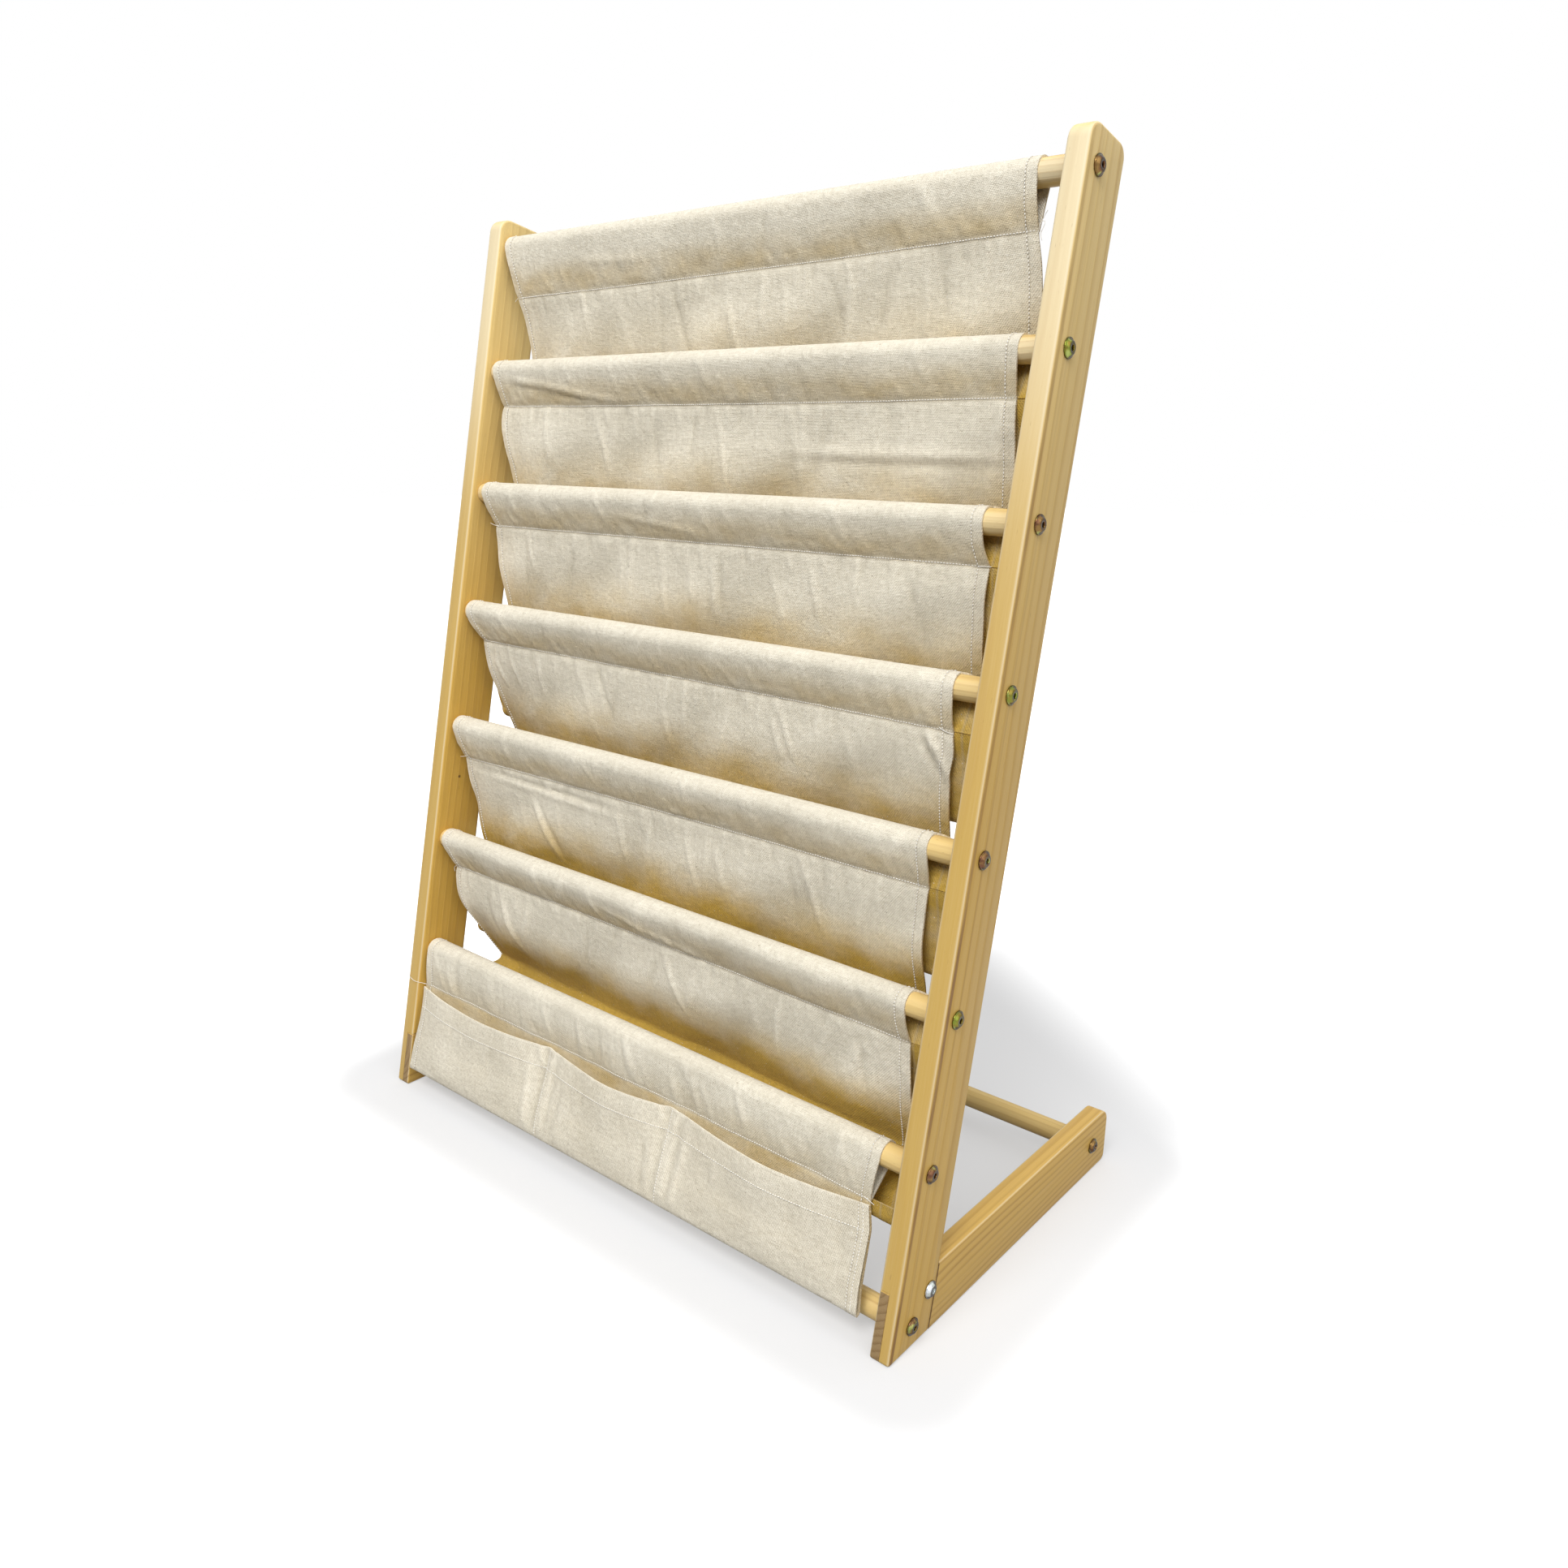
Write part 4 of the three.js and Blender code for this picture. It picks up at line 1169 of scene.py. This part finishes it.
# Creases that stand out on the slings: place across, drop, slant, length, width and height.
CREASES = {
    0: ((105, -52, 84, 60, 3.2, 1.6), (232, -80, 70, 70, 3.6, -1.4), (330, -66, 96, 44, 3.0, 1.5),
        (420, -84, 100, 60, 4.4, 1.5), (508, -64, 82, 50, 3.0, -1.5), (150, -22, 4, 80, 3.0, 1.0)),
    1: ((484, -73, 1, 210, 5.0, 1.5), (484, -79, 1, 190, 4.0, -1.3), (80, -14, 8, 120, 2.6, 1.6),
        (84, -20, 7, 110, 2.6, -1.7), (140, -24, 5, 90, 2.4, 1.1), (72, -62, 92, 46, 2.8, 1.7),
        (150, -70, 76, 50, 3.0, 1.5), (268, -60, 100, 48, 2.8, -1.4), (392, -58, 86, 42, 2.8, 1.4)),
    2: ((310, -66, 90, 46, 2.8, 2.0), (318, -64, 92, 40, 2.6, -1.6), (60, -55, 80, 40, 2.8, 1.6),
        (206, -58, 98, 46, 3.0, 1.6), (424, -62, 78, 50, 3.2, 1.6), (520, -56, 100, 40, 2.8, -1.5),
        (250, -16, 6, 110, 2.8, 1.2)),
    3: ((572, -52, 55, 44, 2.6, 2.0), (566, -58, 55, 40, 2.6, -1.8), (100, -56, 84, 44, 2.8, 1.7),
        (196, -60, 72, 50, 3.0, -1.5), (300, -56, 96, 44, 2.8, 1.7), (420, -60, 70, 54, 3.0, 1.6)),
    4: ((120, -41, 1, 210, 3.0, -1.8), (130, -46, 2, 190, 3.4, 1.5), (128, -84, 62, 60, 2.8, 2.0),
        (136, -84, 62, 54, 2.8, -1.6), (240, -66, 80, 56, 3.0, 1.6), (350, -62, 100, 50, 3.0, 1.6),
        (470, -66, 70, 60, 3.2, 1.6), (210, -14, 60, 34, 2.6, 1.7)),
    5: ((90, -60, 74, 60, 3.0, 1.8), (210, -66, 100, 50, 3.0, -1.6), (330, -64, 66, 60, 3.2, 1.7),
        (452, -60, 96, 56, 3.0, 1.7), (540, -64, 80, 50, 3.0, -1.6), (300, -16, 8, 120, 2.8, 1.3)),
}


class SHELF_OT_slings(bpy.types.Operator):
    """Hang the six slings, each sewn round its dowel and folded to a pocket behind the next"""

    bl_idname = "shelf.slings"
    bl_label = "Slings"

    def execute(self, context):
        sizes = context.scene.shelf_sizes
        for tier in range(TIERS - 1):
            dice = random.Random(sizes.seed + tier)
            cloth = Cloth(f"sling_{tier + 1}_cloth", tier, over_dowel, pocket)
            seam = cloth.marks[1]
            inside = ease((-PITCH - 4 - cloth.drop) / 24) * (cloth.v > seam)
            wall = np.maximum(inside, ease((cloth.v - seam - 200) / 30))
            drop = np.where(cloth.v > seam, cloth.drop, np.minimum(cloth.drop, 0))
            left = softened(EDGE_LEFT[tier], np.maximum(drop, -132)) * (1 - wall) + WALL_LEFT * wall
            right = softened(EDGE_RIGHT[tier], np.maximum(drop, -130)) * (1 - wall) + WALL_RIGHT * wall
            rear = ease((seam / 2 + 2 - cloth.v) / 20) * min(tier, 1)
            right = right * (1 - rear) + WALL_RIGHT * rear
            cloth.set_edges(left, right)
            cloth.displace(self.folds(cloth, dice, sizes.pucker_depth / MM))
            cloth.hollow = self.paint_sling_shade(cloth)
            cloth.shown += seam_shade(cloth.v - seam)
            cloth.sew([f"casing_{tier + 1}", f"sling_{tier + 1}"], "hung",
                      [f"rod_{tier + 1}_dowel", f"rod_{tier + 2}_dowel"])
        return {"FINISHED"}

    def folds(self, cloth, dice, depth):
        seam, tier = cloth.marks[1], cloth.tier
        x, v = cloth.flat_x, cloth.v
        over, under = Creases(), Creases()
        over.along(dice, cloth.width, seam - 1, (48, 84), (14, 34), 15, depth * 0.55, down=-1)
        over.along(dice, cloth.width, seam - 12, (60, 118), (22, 44), 50, depth * 0.8, (2.5, 5), down=-1)
        under.along(dice, cloth.width, seam + 1, (78, 112), (12, 30), 15, depth * 0.8)
        under.along(dice, cloth.width, seam + 20, (70, 115), (26, 60), 58, depth * 1.0, (2.2, 5))
        for across, drop, slant, length, width, height in CREASES.get(tier, ()):
            start = seam + (float(seam_drop(tier, across / cloth.width)) - drop)
            (over if start < seam else under).add(across, start, slant, length, width, height)
        casing = ease((v - seam + 52) / 16) * (v <= seam) * (0.3 + 0.7 * ease((seam - v) / 5))
        panel = (v > seam) * (0.3 + 0.7 * ease((v - seam) / 5)) * (1 - ease((v - seam - 118) / 24))
        sway = (v > seam) * ease((v - seam) / 45) * (1 - ease((v - seam - 118) / 24))
        total = over.height(x, v) * casing + under.height(x, v) * panel
        total += ripple(x, v, ((170, 900, 1.7 * tier, 0.45), (71, 300, 2.3 * tier, 0.28))) * casing
        total += ripple(x, v, ((230, 170, 1.3 * tier, 1.1), (93, 120, 2.7 * tier, 0.6),
                               (410, 64, 0.6 * tier, 0.5), (52, 600, tier, 0.25))) * sway
        pinch = np.exp(-((v - seam) / 2.4) ** 2)
        lips = np.exp(-((np.abs(v - seam) - 5.5) / 3.0) ** 2)
        puffs = 0.75 + 0.5 * np.sin(x / 4.3 + 3 * np.sin(x / 23.0 + tier))
        total = total - 0.45 * pinch + 0.28 * lips * puffs
        return np.where(v < seam - 6, np.maximum(total, -DEEPEST_CREASE), total)

    def paint_sling_shade(self, cloth):
        # Painted shade above the seam, at the foot, inside the pocket's wall and on the rear layer behind
        # the dowel.
        seam = cloth.marks[1]
        near_seam = ease((cloth.v - seam + 34) / 24) * (0.4 + 0.6 * ease((seam - cloth.v) / 4))
        above = 0.04 + CASING_SHADE * near_seam
        below = 0.06 + (FOOT_SHADE + FOOT_SHADE_STEP * cloth.tier) * ease((-58 - cloth.drop) / 66)
        below = np.where(cloth.v > seam + 150, 0.95, below)
        above = above + 0.9 * ease((seam / 2 + 2 - cloth.v) / 20) * min(cloth.tier, 1)
        return np.where(cloth.v <= seam, above, below)


# The pouch: its dividers as shares of the width, and where its front cloth hangs.
DIVIDERS = (0.0, 0.355, 0.634, 1.0)
POUCH_FRONT = -17.0
POUCH_BOTTOM = 21.0
MOUTH_DROP = 3.5
POUCH_FOLD = 2.6         # radius of the fold at the pouch's foot


def bay_bulge(q):
    """0 on the stitched lines of the pouch and up to 1 in the middle of a bay."""
    for low, high in zip(DIVIDERS, DIVIDERS[1:]):
        if q <= high:
            return math.sin(math.pi * min(1, max(0, (q - low) / (high - low))))
    return 0.0


def pouch_back(tier, q):
    """Section of the pouch's back cloth, from the seam to the fold."""
    bulge = bay_bulge(q)
    seam = ROD_RISE[tier] + float(seam_drop(tier, q))
    bottom = (POUCH_BOTTOM + 3.0 * q + POUCH_FRONT * math.sin(LEAN)) / math.cos(LEAN)
    start = float(three(SEAM_BACK[tier], q))
    fold = POUCH_FOLD
    front = POUCH_FRONT - 3.0 * (1 - q)
    line = []
    for share in np.linspace(0, 1, 26):
        hollow = 1.6 * bulge * math.sin(math.pi * share)
        line.append((start + (front + 2 * fold - start) * float(ease(share)) + hollow,
                     seam + (bottom + fold - seam) * share))
    for turn in np.linspace(0, math.pi / 2, 5)[1:]:
        line.append((front + fold + fold * math.cos(turn), bottom + fold - fold * math.sin(turn)))
    return line


def pouch_front(tier, q):
    """Section of the pouch's front cloth, from the fold to the mouth."""
    bulge = bay_bulge(q)
    fold_end = pouch_back(tier, q)[-1]
    fold = POUCH_FOLD
    front, bottom = fold_end[0] - fold, fold_end[1]
    seam = ROD_RISE[tier] + float(seam_drop(tier, q))
    mouth = seam - MOUTH_DROP - 5.5 * bulge ** 1.4
    closed = float(three(SEAM_BACK[tier], q)) - 2.3
    line = [fold_end]
    for turn in np.linspace(math.pi / 2, math.pi, 5)[1:-1]:
        line.append((front + fold + fold * math.cos(turn), bottom + fold - fold * math.sin(turn)))
    for share in np.linspace(0, 1, 28):
        swell = 3.6 * bulge ** 0.55 * math.sin(math.pi * min(1, share * 1.02)) ** 0.8
        gape = 8.0 * bulge ** 0.75 * float(ease((share - 0.40) / 0.60))
        line.append((front + (closed - front) * float(ease(share)) - swell - gape,
                     bottom + fold + (mouth - bottom - fold) * share))
    return line


class SHELF_OT_pouch(bpy.types.Operator):
    """Hang the pouch, sewn round the lowest dowel and folded up to three bays"""

    bl_idname = "shelf.pouch"
    bl_label = "Pouch"

    def execute(self, context):
        sizes = context.scene.shelf_sizes
        tier = TIERS - 1
        dice = random.Random(sizes.seed + tier)
        cloth = Cloth("pouch_cloth", tier, over_dowel, pouch_back, pouch_front)
        drop = np.where(cloth.v > cloth.marks[1], cloth.drop, np.minimum(cloth.drop, 0))
        cloth.set_edges(softened(EDGE_LEFT[tier], drop, 2.0), softened(EDGE_RIGHT[tier], drop, 2.0))
        seam, fold = cloth.marks[1:3]
        cloth.displace(self.folds(cloth, dice, sizes.pucker_depth / MM), np.where(cloth.v > fold, -1, 1))
        cloth.shown += seam_shade(cloth.v - seam)
        # Painted highlight along the edge of the pouch's mouth.
        cloth.shown += 0.16 * (cloth.v > cloth.length - 1.6)
        # Painted shade: a little on the pouch's front, more inside it behind the mouth, and rising towards
        # the seam above.
        cloth.hollow = np.where(cloth.v > fold, 0.10, np.where(
            cloth.v > seam, 0.55, 0.05 + 0.16 * ease((cloth.v - seam + 30) / 24)))
        cloth.sew(["casing_7", "pouch_back", "pouch_front"], "folded", ["rod_7_dowel"],
                  [(cloth.length - MOUTH_HEM, cloth.length + 1)])
        return {"FINISHED"}

    def folds(self, cloth, dice, depth):
        seam, fold = cloth.marks[1:3]
        x, v = cloth.flat_x, cloth.v
        over, front = Creases(), Creases()
        over.along(dice, cloth.width, seam - 2, (50, 84), (20, 46), 19, depth * 0.7, down=-1)
        over.along(dice, cloth.width, seam - 10, (52, 105), (26, 50), 56, depth * 0.9, (2.6, 5), down=-1)
        front.along(dice, cloth.width, cloth.length - 22, (75, 105), (14, 26), 30, depth * 0.6, down=-1)
        for share, side in ((DIVIDERS[1], -1), (DIVIDERS[2], 1)):
            at = share * cloth.width
            for step, width, height in ((1.0, 2.0, 1.3), (7.0, 2.2, 1.1), (4.0, 4.0, 0.5),
                                        (-5.5, 4.0, -1.8), (12.0, 3.4, -0.9)):
                front.add(at + step, cloth.length - 45, 90, 125, width, height)
            front.add(at + 20 * side, cloth.length - 55, 90 - 5 * side, 90, 4.2, 1.6)
            front.add(at - 22 * side, cloth.length - 60, 90 + 6 * side, 70, 3.6, -1.4)
            front.add(at + 9, cloth.length - 8, 60, 20, 2.8, 1.6)
            front.add(at - 10, cloth.length - 10, 120, 22, 2.8, 1.5)
        casing = ease((v - seam + 56) / 16) * (v <= seam)
        total = over.height(x, v) * casing
        total += ripple(x, v, ((150, 900, 0.7, 0.5), (64, 300, 1.1, 0.3))) * casing
        total = np.where(v < seam - 6, np.maximum(total, -DEEPEST_CREASE), total)
        face = ease((v - fold - 4) / 10)
        total -= (front.height(x, v) + ripple(x, v, ((150, 300, 0.4, 0.6), (63, 210, 1.9, 0.3)))) * face
        pinch = np.exp(-((v - seam) / 1.7) ** 2)
        return total - 0.6 * pinch


# Sewing

def sew_rows(name, rows, finish):
    """One mesh with a stitch at every place of the rows: (place, run, normal, length)."""
    sizes = bpy.context.scene.shelf_sizes
    pattern = primitive("stitch", bpy.ops.mesh.primitive_uv_sphere_add, segments=6, ring_count=4,
                        radius=0.5, rotation=(0, math.pi / 2, 0))
    base = np.array([v.co for v in pattern.data.vertices])
    faces = [list(p.vertices) for p in pattern.data.polygons]
    bpy.data.objects.remove(pattern)
    points, polygons = [], []
    for place, run, normal, length in rows:
        side = np.cross(normal, run)
        thick = 2 * sizes.thread_radius
        shape = (base[:, :1] * run * length + base[:, 1:2] * side * thick + base[:, 2:] * normal * thick)
        polygons += [[k + len(points) * len(base) for k in face] for face in faces]
        points.append(place + shape)
    mesh = bpy.data.meshes.new(name)
    mesh.from_pydata(np.concatenate(points).tolist(), [], polygons)
    piece = bpy.data.objects.new(name, mesh)
    bpy.context.scene.collection.objects.link(piece)
    smooth(piece, 180)
    return install(piece, finish)


def stitch_row(cloth, dice, start, end, layers=1.0, face=1):
    """Stitches on a face of a cloth from one flat place to another, in millimetres."""
    sizes = bpy.context.scene.shelf_sizes
    (x0, v0), (x1, v1) = start, end
    count = max(2, round(math.hypot(x1 - x0, v1 - v0) * MM / sizes.stitch_pitch))
    shares = (np.arange(count) + 0.5) / count
    place, east, north, out = cloth.at(x0 + (x1 - x0) * shares, v0 + (v1 - v0) * shares)
    run = east * (x1 - x0) + north * (v1 - v0)
    run = run / np.linalg.norm(run, axis=1, keepdims=True)
    lift = face * (sizes.cloth_thickness * 0.5 * layers + sizes.thread_radius * 0.5)
    rows = []
    for k in range(count):
        along = run[k] + east[k] * dice.uniform(-0.07, 0.07) + north[k] * dice.uniform(-0.07, 0.07)
        rows.append((place[k] + out[k] * lift, along / np.linalg.norm(along), out[k],
                     sizes.stitch_length * dice.uniform(0.85, 1.1)))
    return rows


def loose_thread(name, points, finish, radius=0.24):
    """A free end of thread, a thin tube through points in metres."""
    curve = bpy.data.curves.new(name, "CURVE")
    curve.dimensions = "3D"
    curve.bevel_depth = radius * MM
    curve.bevel_resolution = 2
    curve.use_fill_caps = True
    spline = curve.splines.new("NURBS")
    spline.points.add(len(points) - 1)
    for point, at in zip(spline.points, points):
        point.co = (*at, 1.0)
    spline.use_endpoint_u = True
    spline.order_u = 3
    piece = bpy.data.objects.new(name, curve)
    bpy.context.scene.collection.objects.link(piece)
    only(piece)
    bpy.ops.object.convert(target="MESH")
    return install(bpy.context.view_layer.objects.active, finish)


# Loose ends: tier, right side or left, then steps out, forward and up, in millimetres.
THREAD_ENDS = (
    (0, True, ((1, 1, 3), (3, 2, 6), (6, 2, 5), (5, 3, 1), (2, 2, -3), (4, 2, -7))),
    (0, True, ((0, 1, -2), (2, 2, 4), (5, 2, 9), (7, 2, 12))),
    (0, False, ((0, 1, 0), (2, 1.5, -1), (4, 1.5, -3))),
    (2, False, ((-6, 1.2, -1), (0, 1.5, 0), (6, 1.5, 1.2), (9, 1, 2))),
    (2, True, ((-8, 1.4, 0), (-3, 1.8, 0.4), (2, 1.4, 0.2))),
    (3, True, ((-12, 1.5, 2), (-8, 2, 0), (-3, 2, -1), (1, 1.6, -1.5))),
    (4, False, ((-7, 1.4, 2), (0, 1.8, 1), (6, 1.6, -0.5), (9, 1.2, -1))),
    (5, False, ((0, 1.2, 0), (3, 1.5, -1), (4.5, 1.3, -4), (4, 1, -7))),
    (6, False, ((-2, 1.6, 0), (2, 6, 2), (6, 11, 4), (12, 12, 7), (18, 11.5, 9))),
    (6, True, ((-6, 1.6, 1), (0, 2, 0), (4, 1.6, -2))),
)


class SHELF_OT_sewing(bpy.types.Operator):
    bl_idname = "shelf.sewing"
    bl_label = "Sewing"

    def execute(self, context):
        sizes = context.scene.shelf_sizes
        dice = random.Random(sizes.seed + 20)
        finish = FINISHES["thread"]
        hem = sizes.hem_width / MM - STITCH_INSET
        sewn = {tier: [] for tier in CLOTHS}
        for tier, cloth in CLOTHS.items():
            seam, end = cloth.marks[1], min(cloth.length, cloth.marks[1] + BELOW_SEAM)
            rows = stitch_row(cloth, dice, (2, seam), (cloth.width - 2, seam))
            for x in (hem, cloth.width - hem):
                rows += stitch_row(cloth, dice, (x, seam - ABOVE_SEAM), (x, end), 1.5)
            if tier == TIERS - 1:
                rows += self.pouch_rows(cloth, dice, hem)
            sewn[tier].append(sew_rows(f"stitches_{tier + 1}", rows, finish))
        for number, (tier, right, steps) in enumerate(THREAD_ENDS):
            cloth = CLOTHS[tier]
            side = 1 if right else -1
            edge = cloth.width if right else 0.0
            place = cloth.at([edge], [cloth.marks[1]])[0][0]
            points = [place + np.array((side * out, -ahead, up)) * MM for out, ahead, up in steps]
            sewn[tier].append(loose_thread(f"thread_end_{number + 1}", points, finish))
        return {"FINISHED"}

    def pouch_rows(self, cloth, dice, hem):
        """The front cloth of the pouch has turned at the fold, so its other face shows."""
        top, fold = cloth.length, cloth.marks[2]
        low = top - MOUTH_HEM
        rows = stitch_row(cloth, dice, (3, low), (cloth.width - 3, low), 1.5, -1)
        for x in (hem, cloth.width - hem, cloth.width - hem + 4):
            rows += stitch_row(cloth, dice, (x, fold + 5), (x, top - 1), 1.5, -1)
        for share in DIVIDERS[1:-1]:
            x = share * cloth.width
            rows += stitch_row(cloth, dice, (x, fold + 5), (x, top - 1), 1.0, -1)
        return rows


# Stage

class SHELF_OT_stage(bpy.types.Operator):
    """Set the camera, the lamps and the pale floor"""

    bl_idname = "shelf.stage"
    bl_label = "Stage"

    def execute(self, context):
        stage = context.scene.shelf_stage
        scene = context.scene
        bpy.ops.object.camera_add(location=stage.camera_place, rotation=stage.camera_turn)
        camera = context.view_layer.objects.active
        camera.name = "camera"
        camera.data.sensor_width = 36
        camera.data.lens = stage.camera_lens
        camera.data.clip_start, camera.data.clip_end = 0.05, 50
        scene.camera = camera
        scene.view_settings.view_transform = "Standard"
        self.lamps(stage)
        self.floor(stage)
        return {"FINISHED"}

    def lamps(self, stage):
        place = Vector(stage.key_place)
        turn = (Vector((0, 0, 0.5)) - place).to_track_quat("-Z", "Y").to_euler()
        bpy.ops.object.light_add(type="AREA", location=place, rotation=turn)
        key = bpy.context.view_layer.objects.active
        key.name = "key"
        key.data.shape = "DISK"
        key.data.size = stage.key_size
        key.data.energy = stage.key_power
        for name, power, angle, turn in (
            ("side", stage.side_power, 60, (52, 0, 66)),
            ("top", stage.top_power, 80, (35, 0, 180)),
        ):
            bpy.ops.object.light_add(type="SUN", rotation=[math.radians(a) for a in turn])
            lamp = bpy.context.view_layer.objects.active
            lamp.name = name
            lamp.data.energy = power
            lamp.data.angle = math.radians(angle)
        world = bpy.context.scene.world = bpy.data.worlds.new("studio")
        f = Finish(world)
        light = f.add("ShaderNodeBackground", {},
                      {"Color": (0.98, 0.99, 1.0), "Strength": stage.sky_power})
        white = f.add("ShaderNodeBackground", {}, {"Color": (1, 1, 1), "Strength": 1.0})
        mixed = f.add("ShaderNodeMixShader", {},
                      {0: f.seen(), 1: light.outputs[0], 2: white.outputs[0]})
        f.add("ShaderNodeOutputWorld", {}, {"Surface": mixed.outputs[0]})

    def floor(self, stage):
        floor = primitive("floor", bpy.ops.mesh.primitive_plane_add, size=24, location=(0, 0, -0.0002))
        f = Finish(bpy.data.materials.new("pale floor"))
        plain = f.add("ShaderNodeBsdfDiffuse", {}, {"Color": (0.26, 0.26, 0.26)})
        lifted = f.add("ShaderNodeBsdfDiffuse", {}, {"Color": (0.46, 0.46, 0.465)})
        x, y, _ = f.axes(f.place())
        # Near the shelf's footprint the floor's glow is lower, so real shadows show there and a faint
        # painted shadow lies round the footprint; further off the floor rises to white.
        aside = ((x.math("ABSOLUTE") - 0.33) / 0.115).math("MAXIMUM", 0.0)
        ahead = ((-y - 0.18) / 0.11).math("MAXIMUM", 0.0)
        behind = ((y + x.math("MAXIMUM", 0.0) * 0.6 - 0.33) / 0.30).math("MAXIMUM", 0.0)
        behind = behind * y.between(0.16, 0.26)
        away = (aside * aside + ahead * ahead + behind * behind).power(0.5).between(0.35, 1.15)
        lift = f.mix(away, [stage.floor_lift] * 3, (1.02, 1.02, 1.02))
        glow = f.add("ShaderNodeEmission", {}, {"Color": lift})
        bright = f.add("ShaderNodeAddShader", {}, {0: lifted.outputs[0], 1: glow.outputs[0]})
        mixed = f.add("ShaderNodeMixShader", {},
                      {0: f.seen(), 1: plain.outputs[0], 2: bright.outputs[0]})
        f.add("ShaderNodeOutputMaterial", {}, {"Surface": mixed.outputs[0]})
        floor.data.materials.append(f.owner)
        floor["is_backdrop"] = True


class SHELF_OT_finishes(bpy.types.Operator):
    """Mix the canvas and the thread that the cloths share"""

    bl_idname = "shelf.finishes"
    bl_label = "Canvas and thread"

    def execute(self, context):
        FINISHES["canvas"] = canvas("canvas")
        FINISHES["thread"] = thread()
        return {"FINISHED"}


STEPS = ("stage", "uprights", "legs", "dowels", "bolts", "finishes", "slings", "pouch", "sewing")


class SHELF_PT_panel(bpy.types.Panel):
    """The shelf's steps and sizes"""

    bl_idname = "SHELF_PT_panel"
    bl_label = "Sling Bookshelf"
    bl_space_type = "VIEW_3D"
    bl_region_type = "UI"
    bl_category = "Shelf"

    def draw(self, context):
        for step in STEPS:
            self.layout.operator(f"shelf.{step}")
        for group in (context.scene.shelf_sizes, context.scene.shelf_colours, context.scene.shelf_stage):
            column = self.layout.column()
            for name in group.__annotations__:
                column.prop(group, name)


CLASSES = (
    ShelfSizes, ShelfColours, ShelfStage, SHELF_OT_stage, SHELF_OT_uprights, SHELF_OT_legs,
    SHELF_OT_dowels, SHELF_OT_bolts, SHELF_OT_finishes, SHELF_OT_slings,
    SHELF_OT_pouch, SHELF_OT_sewing, SHELF_PT_panel,
)


def register():
    for cls in CLASSES:
        bpy.utils.register_class(cls)
    bpy.types.Scene.shelf_sizes = PointerProperty(type=ShelfSizes)
    bpy.types.Scene.shelf_colours = PointerProperty(type=ShelfColours)
    bpy.types.Scene.shelf_stage = PointerProperty(type=ShelfStage)


def unregister():
    del bpy.types.Scene.shelf_stage
    del bpy.types.Scene.shelf_colours
    del bpy.types.Scene.shelf_sizes
    for cls in reversed(CLASSES):
        bpy.utils.unregister_class(cls)


def corners():
    return [list(corner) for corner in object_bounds()]


def main():
    for name in ("Cube", "Light", "Camera"):
        if name in bpy.data.objects:
            bpy.data.objects.remove(bpy.data.objects[name])
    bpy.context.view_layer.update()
    register()
    for step in STEPS:
        getattr(bpy.ops.shelf, step)()
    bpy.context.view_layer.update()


if __name__ == "__main__":
    main()
